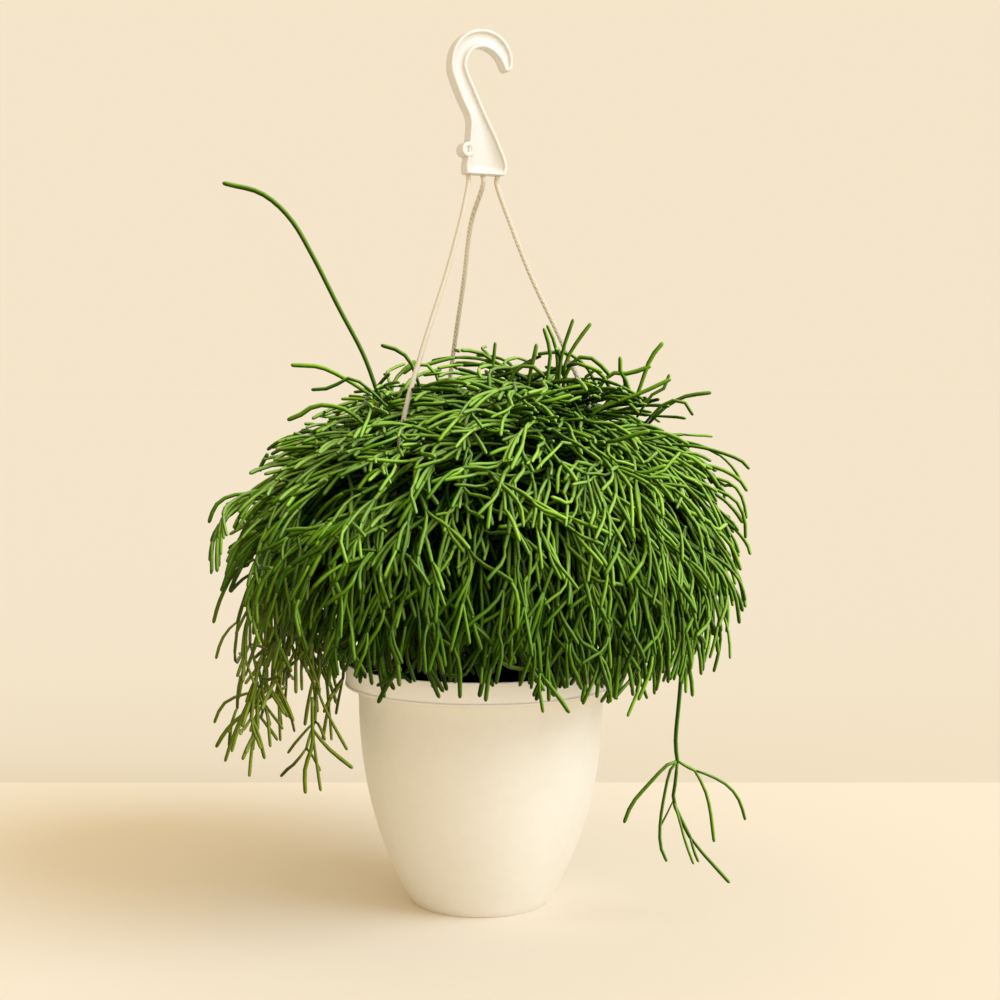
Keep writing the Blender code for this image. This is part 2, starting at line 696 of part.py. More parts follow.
def make_bunch(index, foot, section, collection, material):
    rng = np.random.default_rng(SEED + index)
    low = math.radians(FIRST_BUNCH + BUNCH_ANGLE * index)
    high = low + math.radians(BUNCH_ANGLE)
    middle, half = (low + high) / 2, (high - low) / 2
    low_margin, high_margin = margins(index)
    edges = (low_margin + 2 * MM, high_margin + 2 * MM)
    core = add_object("core", bunch_core(low, high, edges), collection)
    shell = core.modifiers.new("Thickness", "SOLIDIFY")
    shell.thickness = CORE_THICKNESS
    shell.offset = -1

    strands = bunch_stems(rng, middle, half)
    facing = math.degrees(middle) % 360
    if 150 < facing < 235:
        strands += trailing_stems(rng, middle, half)
    if abs(facing - SHOOT_AZIMUTH) < BUNCH_ANGLE / 2:
        strands.append(long_shoot())
    if 320 < facing < 350:
        strands += trailing_branch()

    room = STEM_RADIUS + 0.05 * MM
    stems = new_collection("stems", hidden=True)
    for points in strands:
        points = keep_between(points, CROWN_RADIUS + room + MM, REACH)
        points = keep_in_wedge(points, low, high, low_margin + room, high_margin + room)
        stem_curve("stem", points, joint_radii(len(points)), section, stems)
    top = mop_point(0.55, middle, CORE_DEPTH + CORE_THICKNESS / 2)
    base = main_stem(foot, top)
    stem_curve("main", base, np.full(len(base), MAIN_STEM_RADIUS), section, stems)
    return finish_bunch(f"stems_{index + 1:02d}", core, stems, collection, material)


def finish_bunch(name, core, stems, collection, material):
    """Makes every curve of the bunch a closed mesh, then fuses them all with the core."""
    graph = bpy.context.evaluated_depsgraph_get()
    curves = list(stems.objects) + [core]
    meshes = [bpy.data.meshes.new_from_object(obj.evaluated_get(graph)) for obj in curves]
    for obj in curves:
        bpy.data.objects.remove(obj, do_unlink=True)
    for mesh in meshes:
        weld(mesh)
    for mesh in meshes[:-1]:
        add_object("stem", mesh, stems)
    return fused(name, add_object("core", meshes[-1], collection), stems, collection, material)


def make_crown(foot, section, collection, material):
    rng = np.random.default_rng(SEED + BUNCHES)
    bm = bmesh.new()
    depth = CORE_DEPTH + CORE_THICKNESS / 2
    centre = Vector((0, 0, SHOULDER + MOP_HEIGHT - depth - 2 * MM))
    squash = Matrix.Translation(centre) @ Matrix.Diagonal((26 * MM, 26 * MM, 5 * MM, 1))
    bmesh.ops.create_uvsphere(bm, u_segments=10, v_segments=6, radius=1, matrix=squash)
    mesh = bpy.data.meshes.new("core")
    bm.to_mesh(mesh)
    bm.free()
    core = add_object("core", mesh, collection)

    count = 18
    azimuths = np.arange(count) * GOLDEN_ANGLE
    radii = 23 * MM * np.sqrt((np.arange(count) + 0.5) / count)
    heights = np.full(count, centre.z)
    start = np.stack([radii * np.cos(azimuths), radii * np.sin(azimuths), heights], axis=1)
    down, _, out, _ = mop_frame(start)
    heading = turned_in_slope(down, out, rng.normal(0, 0.9, count), rng.uniform(0.3, 1.3, count))
    length = rng.uniform(24, 40, count) * MM
    strands = shoots(rng, start, heading, length, 3, rng.integers(0, 2, count), 8, 900)
    stems = new_collection("stems", hidden=True)
    limit = CROWN_RADIUS - STEM_RADIUS - STEM_CLEARANCE
    for points in strands:
        points = keep_between(points, 0, limit)
        stem_curve("stem", points, joint_radii(len(points)), section, stems)
    base = main_stem(foot, tuple(centre))
    base[2, :2] = (3 * MM, -2 * MM)
    stem_curve("main", base, np.full(len(base), MAIN_STEM_RADIUS), section, stems)
    return finish_bunch("stems_crown", core, stems, collection, material)


def main():
    clear_scene()
    parts = new_collection("potted_mistletoe_cactus")
    guides = new_collection("guides", hidden=True)
    cream = new_material("pot_plastic", CREAM, 0.5)
    white = new_material("hanger_plastic", WHITE, 0.4)
    green = new_material("stem_green", GREEN, 0.45)
    peat = new_material("peat", PEAT, 0.95)

    section = stem_section(guides)
    feet = stem_feet()
    make_crown(feet["crown"], section, parts, green)
    for index in range(BUNCHES):
        make_bunch(index, feet[index], section, parts, green)
    for name, azimuth, offset in zip(ARM_NAMES, ARM_AZIMUTHS, SOCKET_OFFSETS):
        make_arm(f"hanger_arm_{name}", azimuth, offset, parts, white)
    make_hook(parts, white)
    make_soil(parts, peat)
    make_pot(parts, cream)


main()
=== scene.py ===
"""A potted mistletoe cactus: the looks of the pot, soil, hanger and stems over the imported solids.

Metres, +Z up. -Y is the side seen from the front, and azimuths turn from +X towards +Y.
"""

import math

import bpy
import numpy as np
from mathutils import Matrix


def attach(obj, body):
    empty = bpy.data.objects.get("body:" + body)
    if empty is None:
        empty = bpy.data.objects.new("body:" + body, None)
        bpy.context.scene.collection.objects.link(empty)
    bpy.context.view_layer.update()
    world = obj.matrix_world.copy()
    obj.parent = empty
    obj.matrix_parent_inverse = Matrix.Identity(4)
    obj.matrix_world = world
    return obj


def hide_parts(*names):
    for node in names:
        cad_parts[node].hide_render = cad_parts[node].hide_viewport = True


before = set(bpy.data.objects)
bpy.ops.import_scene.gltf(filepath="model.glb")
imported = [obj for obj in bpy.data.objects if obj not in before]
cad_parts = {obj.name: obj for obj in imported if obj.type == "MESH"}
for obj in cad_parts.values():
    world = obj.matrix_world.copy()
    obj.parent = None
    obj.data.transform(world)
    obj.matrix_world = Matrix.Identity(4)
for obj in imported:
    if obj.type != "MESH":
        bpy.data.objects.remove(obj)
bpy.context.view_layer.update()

# The pot is one injection-moulded shell of cream polypropylene with a satin face. Its wall swells
# out of a small foot and steps out into a plain collar with a thin rim. Three lugs inside the
# collar take the hanger's arms, and four holes drain the foot.
MM = 0.001
FOOT_RADIUS, BODY_RADIUS, RIM_RADIUS = 39 * MM, 67.6 * MM, 75 * MM
LEDGE_HEIGHT, RIM_HEIGHT = 121.5 * MM, 134 * MM
WALL, FLOOR, POT_SIDES = 1.7 * MM, 2.6 * MM, 144
COLLAR_TAPER, BEAD, FOOT_BEVEL, BULGE = 0.6 * MM, 0.6 * MM, 1 * MM, 2.4
ARM_AZIMUTHS, LUG_CIRCLE = (-10, 110, 230), 69.6 * MM
LUG_TOP, LUG_HEIGHT, LUG_DEPTH, LUG_HALF = 131.5 * MM, 4 * MM, 3.4 * MM, 4.5 * MM
BORE_RADIUS, DRAIN_RADIUS, DRAIN_CIRCLE = 1.65 * MM, 3 * MM, 22 * MM
COLOUR_MIX = {"data_type": "RGBA"}


def linear(hex_colour):
    """sRGB hex to linear RGBA: c / 12.92 up to 0.04045, and ((c + 0.055) / 1.055) ** 2.4 above."""
    srgb = np.array([int(hex_colour[i : i + 2], 16) for i in (1, 3, 5)]) / 255
    rgb = np.where(srgb <= 0.04045, srgb / 12.92, ((srgb + 0.055) / 1.055) ** 2.4)
    return (*rgb, 1)


def feed(node, inputs):
    """Sets a node's inputs by name or place, each to a value or from the socket that feeds it."""
    for key, value in inputs.items():
        if isinstance(value, bpy.types.NodeSocket):
            node.id_data.links.new(value, node.inputs[key])
        else:
            node.inputs[key].default_value = value
    return node


def add_node(owner, kind, settings=None, inputs=None):
    """One shader node of a material or of the world, with its own settings by name."""
    made = owner.node_tree.nodes.new("ShaderNode" + kind)
    for name, value in (settings or {}).items():
        setattr(made, name, value)
    return feed(made, inputs or {})


def new_material(name, colour, roughness, ior):
    """A material whose Principled shader has these plain values to start from."""
    material = bpy.data.materials.new(name)
    material.use_nodes = True
    shader = material.node_tree.nodes["Principled BSDF"]
    feed(shader, {"Base Color": linear(colour), "Roughness": roughness, "IOR": ior})
    return material, shader


def solid(name, points, faces, material):
    """A closed mesh object from points (n, 3) and a list of face arrays, one row a face.

    Each face is a fan of triangles, and a sixth of the sum of a . (b x c) over them is the volume.
    Where that is negative, every face is turned round, so that all point outwards.
    """
    points = np.reshape(points, (-1, 3))
    volume = 0
    for group in faces:
        for corner in range(1, group.shape[1] - 1):
            b, c = points[group[:, corner]], points[group[:, corner + 1]]
            volume += np.einsum("ij,ij->", points[group[:, 0]], np.cross(b, c))
    if volume < 0:
        faces = [group[:, ::-1] for group in faces]
    corners = np.concatenate([group.ravel() for group in faces]).astype(np.int32)
    counts = np.concatenate([np.full(len(group), group.shape[1]) for group in faces])
    mesh = bpy.data.meshes.new(name)
    mesh.vertices.add(len(points))
    mesh.vertices.foreach_set("co", points.astype(np.float32).ravel())
    mesh.loops.add(len(corners))
    mesh.loops.foreach_set("vertex_index", corners)
    mesh.polygons.add(len(counts))
    mesh.polygons.foreach_set("loop_start", (np.cumsum(counts) - counts).astype(np.int32))
    mesh.update(calc_edges=True)
    mesh.shade_smooth()
    mesh.materials.append(material)
    made = bpy.data.objects.new(name, mesh)
    bpy.context.scene.collection.objects.link(made)
    return made


def eased(corners, radius, step):
    """A polyline with its sharp corners rounded and its long sides cut up.

    A corner c between a and b becomes (1 - t)^2 a' + 2 t (1 - t) c + t^2 b', where a' and b' lie a
    radius away from it, or nearly half way along a shorter side. A corner whose sides lie nearly
    in line stays as it is.
    """
    corners = np.array(corners, float)
    path = [corners[:1]]
    share = np.linspace(0, 1, 6)[:, None]
    for before, corner, after in zip(corners, corners[1:], corners[2:]):
        back, on = before - corner, after - corner
        back_length, on_length = np.linalg.norm(back), np.linalg.norm(on)
        if back @ on < -0.96 * back_length * on_length:
            path.append(corner[None])
            continue
        start = corner + back * min(radius / back_length, 0.48)
        stop = corner + on * min(radius / on_length, 0.48)
        path.append((1 - share) ** 2 * start + 2 * share * (1 - share) * corner + share**2 * stop)
    path = np.vstack([*path, corners[-1:]])
    spans = np.linalg.norm(np.diff(path, axis=0), axis=1)
    counts = np.maximum(np.ceil(spans / step), 1).astype(int)
    places = [np.arange(count) / count for count in counts]
    where = np.concatenate([i + place for i, place in enumerate(places)] + [[len(path) - 1]])
    return np.stack([np.interp(where, np.arange(len(path)), path[:, k]) for k in (0, 1)], axis=1)


def turned(profile, sides):
    """Points and faces of a profile of (radius, height) swept round +Z, from the axis to the axis:
    x = r cos a, y = r sin a, z = h, with a single point at each pole."""
    angle = np.arange(sides) * 2 * np.pi / sides
    radius, height = profile[1:-1, 0, None], profile[1:-1, 1, None]
    rings = np.stack([radius * np.cos(angle), radius * np.sin(angle), height + 0 * angle], axis=2)
    points = np.vstack([rings.reshape(-1, 3), [[0, 0, profile[0, 1]], [0, 0, profile[-1, 1]]]])
    index = np.arange(len(rings) * sides).reshape(len(rings), sides)
    after = np.roll(index, -1, axis=1)
    quads = np.stack([index[:-1], after[:-1], after[1:], index[1:]], axis=2).reshape(-1, 4)
    low, high = len(points) - 2, len(points) - 1
    first = np.stack([np.full(sides, low), after[0], index[0]], axis=1)
    last = np.stack([np.full(sides, high), index[-1], after[-1]], axis=1)
    return points, [quads, first, last]


def wall_radius(height):
    """Radius of the outer wall: R - (R - r) (1 - h / H)^2.4, with r the foot and R the body."""
    share = np.maximum(0, 1 - height / LEDGE_HEIGHT)
    return BODY_RADIUS - (BODY_RADIUS - FOOT_RADIUS) * share**BULGE


def pot_profile():
    """From the middle of the inside floor up the inner wall, over the rim and down to the foot."""
    heights = np.linspace(0.03, 0.97, 30) * LEDGE_HEIGHT
    outer = np.stack([wall_radius(heights), heights], axis=1)
    inner = outer[3:] - (WALL, 0)
    ledge_in, ledge_out = BODY_RADIUS - WALL, RIM_RADIUS - COLLAR_TAPER
    bead_out = ledge_out + BEAD
    collar = [
        (ledge_in, LEDGE_HEIGHT + WALL), (ledge_out - WALL, LEDGE_HEIGHT + WALL),
        (RIM_RADIUS - WALL, RIM_HEIGHT), (RIM_RADIUS, RIM_HEIGHT),
        (ledge_out, LEDGE_HEIGHT + 1.4 * MM), (bead_out, LEDGE_HEIGHT + 1.0 * MM),
        (bead_out, LEDGE_HEIGHT + 0.2 * MM), (bead_out, LEDGE_HEIGHT + 0.04 * MM),
        (bead_out - 0.04 * MM, LEDGE_HEIGHT), (BODY_RADIUS, LEDGE_HEIGHT),
    ]
    floor = [(0, FLOOR), (FOOT_RADIUS - WALL - FOOT_BEVEL, FLOOR)]
    foot = [(FOOT_RADIUS - 0.4 * MM, 0), (0, 0)]
    return np.vstack([floor, inner, collar, outer[::-1], foot])


# Polypropylene, moulded against a finely sanded die: satin, very slightly uneven and cream right
# through, with no grain. The collar is painted brighter than the wall below the ledge: painted
# light where the stems hanging over it would shade it. The unevenness is drawn at 7 mm and the
# sanding at 0.5 mm.
pot_plastic, shader = new_material("polypropylene_moulded_cream", "#F3EFE5", 0.46, 1.49)
place = add_node(pot_plastic, "TexCoord").outputs["Object"]
cloud = add_node(pot_plastic, "TexNoise", None, {"Vector": place, "Scale": 140, "Detail": 3})
height = add_node(pot_plastic, "SeparateXYZ", None, {0: place}).outputs["Z"]
# Painted light: the collar above the ledge gets a brighter tone than the wall below it.
collar_light_mask = add_node(
    pot_plastic, "MapRange", None, {"Value": height, "From Min": 0.1205, "From Max": 0.1225}
)
body_tone = add_node(
    pot_plastic, "Mix", COLOUR_MIX,
    {0: cloud.outputs["Fac"], 6: linear("#E3DED2"), 7: linear("#EAE5DA")},
)
# The collar's tone: painted light over the pot's own cream.
clear = add_node(
    pot_plastic, "Mix", COLOUR_MIX,
    {0: cloud.outputs["Fac"], 6: linear("#FCF8EF"), 7: linear("#FFFDF7")},
)
tone = add_node(
    pot_plastic, "Mix", COLOUR_MIX,
    {0: collar_light_mask.outputs["Result"], 6: body_tone.outputs[2], 7: clear.outputs[2]},
)
sanding = add_node(pot_plastic, "TexNoise", None, {"Vector": place, "Scale": 2000, "Detail": 2})
grain = add_node(
    pot_plastic, "Bump", None,
    {"Height": sanding.outputs["Fac"], "Strength": 0.06, "Distance": 0.2 * MM},
)
feed(shader, {"Base Color": tone.outputs[2], "Normal": grain.outputs["Normal"]})

points, faces = turned(eased(pot_profile(), 0.5 * MM, 3 * MM), POT_SIDES)
pot = solid("pot_shell", points, faces, pot_plastic)


def hole(centre, radius, heights):
    """Rings of 24 points for a round cutter: centre + r (cos a, sin a), at each height."""
    angle = np.arange(24) * np.pi / 12
    flat = centre + radius * np.column_stack([np.cos(angle), np.sin(angle)])
    return np.stack([np.column_stack([flat, 0 * angle + z]) for z in heights])


# A lug is a block that reaches in from the collar, rounded at its inner corners and a little
# smaller at its top and bottom, with a bore for its arm.
lug_plans, cutters = [], []
lug_foot = LUG_TOP - LUG_HEIGHT
for azimuth in np.radians(ARM_AZIMUTHS):
    cosine, sine = np.cos(azimuth), np.sin(azimuth)
    turn = np.array([[cosine, sine, 0], [-sine, cosine, 0], [0, 0, 1]])
    inner, outer = LUG_CIRCLE - LUG_DEPTH, RIM_RADIUS - WALL / 2
    edge = [(outer, -LUG_HALF), (inner, -LUG_HALF), (inner, LUG_HALF), (outer, LUG_HALF)]
    edge = eased(edge, 2 * MM, 1)
    rings = [
        np.column_stack([edge * (1, 1 - eat), np.full(len(edge), height)]) + (eat * 4 * MM, 0, 0)
        for eat, height in (
            (0.1, lug_foot), (0, lug_foot + 0.4 * MM), (0, LUG_TOP - 0.4 * MM), (0.1, LUG_TOP),
        )
    ]
    lug_plans.append(np.array(rings) @ turn)
    bore = hole(np.array((LUG_CIRCLE, 0)), BORE_RADIUS, (LUG_TOP - 6 * MM, LUG_TOP + 2 * MM))
    cutters.append(bore @ turn)
for azimuth in np.radians((45, 135, 225, 315)):
    middle = DRAIN_CIRCLE * np.array([math.cos(azimuth), math.sin(azimuth)])
    cutters.append(hole(middle, DRAIN_RADIUS, (-1 * MM, FLOOR + 1 * MM)))


def stacked(rings):
    """Points and faces of equal rings joined one over the other, with a flat face on each end."""
    count, sides = rings.shape[:2]
    index = np.arange(count * sides).reshape(count, sides)
    after = np.roll(index, -1, axis=1)
    quads = np.stack([index[:-1], after[:-1], after[1:], index[1:]], axis=2).reshape(-1, 4)
    return rings.reshape(-1, 3), [quads, index[:1, ::-1], index[-1:]]


# The lugs are fused with the shell, and then the bores and the drain holes are cut.
for kind, group, operation in (("lug", lug_plans, "UNION"), ("hole", cutters, "DIFFERENCE")):
    tools = [solid(kind, *stacked(rings), pot_plastic) for rings in group]
    for tool in tools:
        cut = pot.modifiers.new(kind, "BOOLEAN")
        cut.operation, cut.object, cut.solver = operation, tool, "EXACT"
    finished = pot.evaluated_get(bpy.context.evaluated_depsgraph_get())
    fused = bpy.data.meshes.new_from_object(finished)
    pot.modifiers.clear()
    pot.data = fused
    for tool in tools:
        bpy.data.objects.remove(tool)
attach(pot, "root")
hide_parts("pot")

# The soil is peat-based potting mix, dark brown and crumbly, filled to just under the collar's
# ledge. Crumbs of peat lie loose on a lumpy surface that is a little higher in the middle.
SOIL_EDGE, SOIL_CROWN, CRUMBS = 119.5 * MM, 123 * MM, 1100


def soil_height(radius):
    """Height of the soil: crown - (crown - edge) (r / R)^2."""
    return SOIL_CROWN - (SOIL_CROWN - SOIL_EDGE) * (radius / BODY_RADIUS) ** 2


def lumps(x, y, size, rng):
    """Rolling lumps: the mean of nine cosine waves of random direction, each about one size
    long."""
    angle, phase = rng.uniform(0, 2 * np.pi, (2, 9, 1, 1))
    wave = 2 * np.pi / size * rng.uniform(0.7, 1.4, (9, 1, 1))
    return np.mean(np.cos(wave * (x * np.cos(angle) + y * np.sin(angle)) + phase), axis=0)


# Peat: fibrous brown crumbs, matt, nearly black where it is damp between them. The crumbs are
# drawn 2.4 mm across.
peat, shader = new_material("peat_potting_mix", "#2A1B10", 0.95, 1.3)
place = add_node(peat, "TexCoord").outputs["Object"]
crumb = add_node(peat, "TexVoronoi", None, {"Vector": place, "Scale": 420})
tone = add_node(
    peat, "Mix", COLOUR_MIX,
    {0: crumb.outputs["Distance"], 6: linear("#120B06"), 7: linear("#4A3320")},
)
rough = add_node(
    peat, "Bump", None, {"Height": crumb.outputs["Distance"], "Strength": 0.7, "Distance": 1 * MM}
)
feed(shader, {"Base Color": tone.outputs[2], "Normal": rough.outputs["Normal"]})

rng = np.random.default_rng(3)
edge = wall_radius(SOIL_EDGE) - WALL - 0.5 * MM
radii = np.linspace(0, edge, 40)
side_heights = np.linspace(SOIL_EDGE - 4 * MM, 6 * MM, 12)
profile = np.vstack([
    np.stack([radii, soil_height(radii)], axis=1),
    np.stack([wall_radius(side_heights) - WALL - 1 * MM, side_heights], axis=1),
    [(FOOT_RADIUS - 4 * MM, 3 * MM), (0, 3 * MM)],
])
points, faces = turned(profile, 96)
on_top = points[:, 2] > SOIL_EDGE - 1 * MM
inward = np.clip((edge - np.hypot(points[:, 0], points[:, 1])) / (4 * MM), 0, 1)
rise = 0.9 * MM * lumps(points[:, 0], points[:, 1], 7 * MM, rng)[0]
points[:, 2] += np.where(on_top, rise * inward, 0)
soil = solid("soil_bed", points, faces, peat)

# A crumb is a ball of five sides, its corners pulled in or out at random.
radius = (edge - 2 * MM) * np.sqrt(rng.random(CRUMBS))
azimuth = rng.uniform(0, 2 * np.pi, CRUMBS)
middle = [radius * np.cos(azimuth), radius * np.sin(azimuth), soil_height(radius)]
ball, ball_faces = turned(np.array([(0, -1), (0.87, -0.5), (0.87, 0.5), (0, 1)]), 5)
size = rng.uniform(0.6, 1.5, (CRUMBS, 1, 1)) * MM
ball = ball * rng.uniform(0.6, 1.3, (CRUMBS, len(ball), 1)) * size
points = np.stack(middle, axis=1)[:, None] + ball
step = len(ball[0]) * np.arange(CRUMBS)[:, None, None]
faces = [(group[None] + step).reshape(-1, group.shape[1]) for group in ball_faces]
crumb_layer = solid("soil_crumbs", points, faces, peat)
for piece in (soil, crumb_layer):
    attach(piece, "root")
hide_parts("soil")

# The hanger's hook is one flat moulding in off-white plastic, 8 mm thick, turned a little to its
# left. A raised border runs round both faces, and a round boss with a dimple stands on its edge.
HOOK_TURN, HOOK_BASE = math.radians(26), 399 * MM
HOOK_THICKNESS, HOOK_BORDER, HOOK_RECESS, HOOK_EDGE = 8 * MM, 1.9 * MM, 1.1 * MM, 0.55 * MM
RING_CENTRE, RING_RADIUS = np.array((0.4, 457)) * MM, 14.6 * MM
BOSS_CENTRE, BOSS_RADIUS, DIMPLE_RADIUS, DIMPLE = (-8.7, 0, 412), 4 * MM, 1.6 * MM, 1.1 * MM
# Round the ring from its tip: angle in degrees and half width. Down the shank: x, z and half
# width. These lengths and the boss's centre are in mm.
RING_STATIONS = np.array((
    (-8, 1.6), (10, 3.2), (32, 4.2), (60, 4.9), (90, 4.9), (120, 4.8), (150, 4.7), (180, 4.6),
    (203, 4.7),
))
SHANK_STATIONS = np.array((
    (-8.4, 441, 4.9), (-3.0, 430, 5.0), (-0.3, 419.5, 7.9), (1.2, 411, 10.4), (2.2, 404, 12.3),
    (1.8, 399, 11.6),
))


def smooth_path(points, pieces):
    """Catmull-Rom curve through the points: between p1 and p2 it is p1 + t (p2 - p0) / 2
    + t^2 (p0 - 5 p1 / 2 + 2 p2 - p3 / 2) + t^3 (3 (p1 - p2) + p3 - p0) / 2."""
    points = np.array(points, float)
    ends = np.vstack([2 * points[0] - points[1], points, 2 * points[-1] - points[-2]])
    before, start, stop, after = ends[:-3, None], ends[1:-2, None], ends[2:-1, None], ends[3:, None]
    t = (np.arange(pieces) / pieces)[None, :, None]
    path = (
        start
        + t * (stop - before) / 2
        + t**2 * (before - 2.5 * start + 2 * stop - after / 2)
        + t**3 * (1.5 * (start - stop) + (after - before) / 2)
    )
    return np.vstack([path.reshape(-1, points.shape[1]), points[-1:]])


def smoothstep(x):
    """3 x^2 - 2 x^3, held between 0 and 1."""
    x = np.clip(x, 0, 1)
    return x * x * (3 - 2 * x)


def hook_rings():
    """The hook's cross-section at each station down its band, from the tip to the base.

    At half width w and recess r the section is a rounded bar with a channel in each face: out
    along the channel's floor, up its wall, over the border and round the edge, mirrored twice.
    Near the tip and the base w and the thickness shrink by the edge radius.
    """
    angle = np.radians(RING_STATIONS[:, 0])
    ring = RING_CENTRE + RING_RADIUS * np.stack([np.cos(angle), np.sin(angle)], axis=1)
    route = np.vstack([ring, SHANK_STATIONS[:, :2] * MM])
    widths = np.concatenate([RING_STATIONS[:, 1], SHANK_STATIONS[:, 2]]) * MM
    path = smooth_path(np.column_stack([route, widths]), 12)
    run = np.concatenate([[0], np.cumsum(np.linalg.norm(np.diff(path[:, :2], axis=0), axis=1))])
    ends = np.array([0, 0.05, 0.15, 0.35, 0.6, 0.9, 1.2, 1.5]) * MM
    between = np.linspace(2 * MM, run[-1] - 1 * MM, 90)
    stations = np.concatenate([ends, between, run[-1] - ends[4::-1]])
    path = np.stack([np.interp(stations, run, path[:, k]) for k in range(3)], axis=1)
    centre, width = path[:, :2], path[:, 2]
    along = np.gradient(centre, stations, axis=0)
    upright = smoothstep((409 * MM - centre[:, 1]) / (8 * MM))[:, None]
    along = along * (1 - upright) + np.array((0, -1)) * upright
    along /= np.linalg.norm(along, axis=1)[:, None]
    across = np.stack([along[:, 1], -along[:, 0]], axis=1)

    left = (run[-1] - stations) / HOOK_EDGE
    tip = stations / (1.5 * MM)
    round_off = HOOK_EDGE * (1 - np.sqrt(1 - np.clip(1 - left, 0, 1) ** 2))
    tip_off = 1.5 * MM * (1 - np.sqrt(1 - np.clip(1 - tip, 0, 1) ** 2))
    half = HOOK_THICKNESS / 2 - round_off - 0.5 * tip_off
    width = width - round_off - tip_off
    floor_width = np.maximum(width - HOOK_BORDER, 0.1 * MM)
    recess = HOOK_RECESS * smoothstep((width - HOOK_BORDER) / (1.2 * MM))
    recess = recess * smoothstep((centre[:, 1] - HOOK_BASE - HOOK_BORDER) / (0.7 * MM))
    e = HOOK_EDGE
    quarter = np.stack([
        np.stack(corner)
        for corner in (
            (0 * width, half - recess), (floor_width - 0.08 * MM, half - recess),
            (floor_width, half - 0.8 * recess), (floor_width + 0.2 * e, half - 0.2 * recess),
            (floor_width + 0.6 * e, half), (np.maximum(width - e, 0.2 * MM), half),
            (width - 0.3 * e, half - 0.3 * e), (width, half - e),
        )
    ])
    quarter[:, 0] = np.minimum(quarter[:, 0], width)
    lower = quarter[::-1] * np.array((1, -1))[:, None]
    right = np.concatenate([quarter, [[width, 0 * half]], lower])
    section = np.concatenate([right, right[-2:0:-1] * np.array((-1, 1))[:, None]])
    flat = centre[None] + section[:, 0, :, None] * across[None]
    return np.stack([flat[..., 0], section[:, 1], flat[..., 1]], axis=2).transpose(1, 0, 2)


def turned_upright(points):
    """Turns points about +Z by the hook's angle."""
    cosine, sine = math.cos(HOOK_TURN), math.sin(HOOK_TURN)
    return points @ np.array([[cosine, sine, 0], [-sine, cosine, 0], [0, 0, 1]])


# Moulded polypropylene again, whiter and a little glossier than the pot, with a faint mottle 4 mm
# across where the melt flowed.
hanger_plastic, shader = new_material("polypropylene_moulded_white", "#F8F1E2", 0.38, 1.49)
place = add_node(hanger_plastic, "TexCoord").outputs["Object"]
flow = add_node(hanger_plastic, "TexNoise", None, {"Vector": place, "Scale": 260, "Detail": 3})
tone = add_node(
    hanger_plastic, "Mix", COLOUR_MIX,
    {0: flow.outputs["Fac"], 6: linear("#DCD8D2"), 7: linear("#E4E1DC")},
)
skin = add_node(
    hanger_plastic, "Bump", None,
    {"Height": flow.outputs["Fac"], "Strength": 0.12, "Distance": 0.4 * MM},
)
feed(shader, {"Base Color": tone.outputs[2], "Normal": skin.outputs["Normal"]})

points, faces = stacked(turned_upright(hook_rings()))
half = HOOK_THICKNESS / 2 + 0.3 * MM
boss_profile = [
    (0, -half + DIMPLE), (DIMPLE_RADIUS, -half + DIMPLE), (DIMPLE_RADIUS + 0.1 * MM, -half),
    (BOSS_RADIUS, -half),
]
boss_profile = np.array(boss_profile + [(r, -h) for r, h in boss_profile[::-1]])
boss_points, boss_faces = turned(eased(boss_profile, 0.5 * MM, 2 * MM), 40)
boss_points = boss_points[:, (0, 2, 1)] + np.array(BOSS_CENTRE) * MM
boss = solid("hook_boss", turned_upright(boss_points), boss_faces, hanger_plastic)
hook = solid("hook_plate", points, faces, hanger_plastic)
for piece in (hook, boss):
    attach(piece, "root")
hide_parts("hanger_hook")

# The three arms are thin semi-stiff mouldings. Each leaves a socket in the hook's base, bows out
# over the foliage and goes down inside it to a lug, where a button foot holds it under the lug.
ARM_RADIUS, ARM_SIDES, SOCKET_OFFSETS = 1.35 * MM, 14, (10.2 * MM, 1.4 * MM, -7.4 * MM)
# Radius and height of the bow's points, in mm.
ARM_BOW = ((16, 374), (28, 344), (46, 306), (62, 266), (70, 215), (70.6, 165))


def unit(vectors):
    """Vectors scaled to length 1 along their last axis."""
    return vectors / np.maximum(np.linalg.norm(vectors, axis=-1, keepdims=True), 1e-12)


def tubes(paths, radii, sides):
    """Points and faces of round rods along paths (n, k, 3) with radii (n, k), closed at both ends.

    The ring at a path point p with direction d is p + r (cos a u + sin a v), where u is square to
    d and to one direction held for the whole rod, and v = d x u.
    """
    along = unit(np.gradient(paths, axis=1))
    chord = unit(paths[:, -1] - paths[:, 0])
    least = np.eye(3)[np.argmin(np.abs(chord), axis=1)]
    held = unit(np.cross(chord, least))[:, None]
    u = unit(held - np.sum(held * along, axis=2, keepdims=True) * along)
    v = np.cross(along, u)
    angle = (np.arange(sides) * 2 * np.pi / sides)[:, None]
    ring = np.cos(angle) * u[:, :, None] + np.sin(angle) * v[:, :, None]
    points = paths[:, :, None] + radii[:, :, None, None] * ring
    index = np.arange(points.size // 3).reshape(points.shape[:3])
    after = np.roll(index, -1, axis=2)
    quads = np.stack([index[:, :-1], after[:, :-1], after[:, 1:], index[:, 1:]], axis=3)
    return points, [quads.reshape(-1, 4), index[:, 0, ::-1], index[:, -1]]


def at_azimuth(degrees, radius, height):
    """The point at an azimuth, radius and height."""
    angle = math.radians(degrees)
    return (radius * math.cos(angle), radius * math.sin(angle), height)


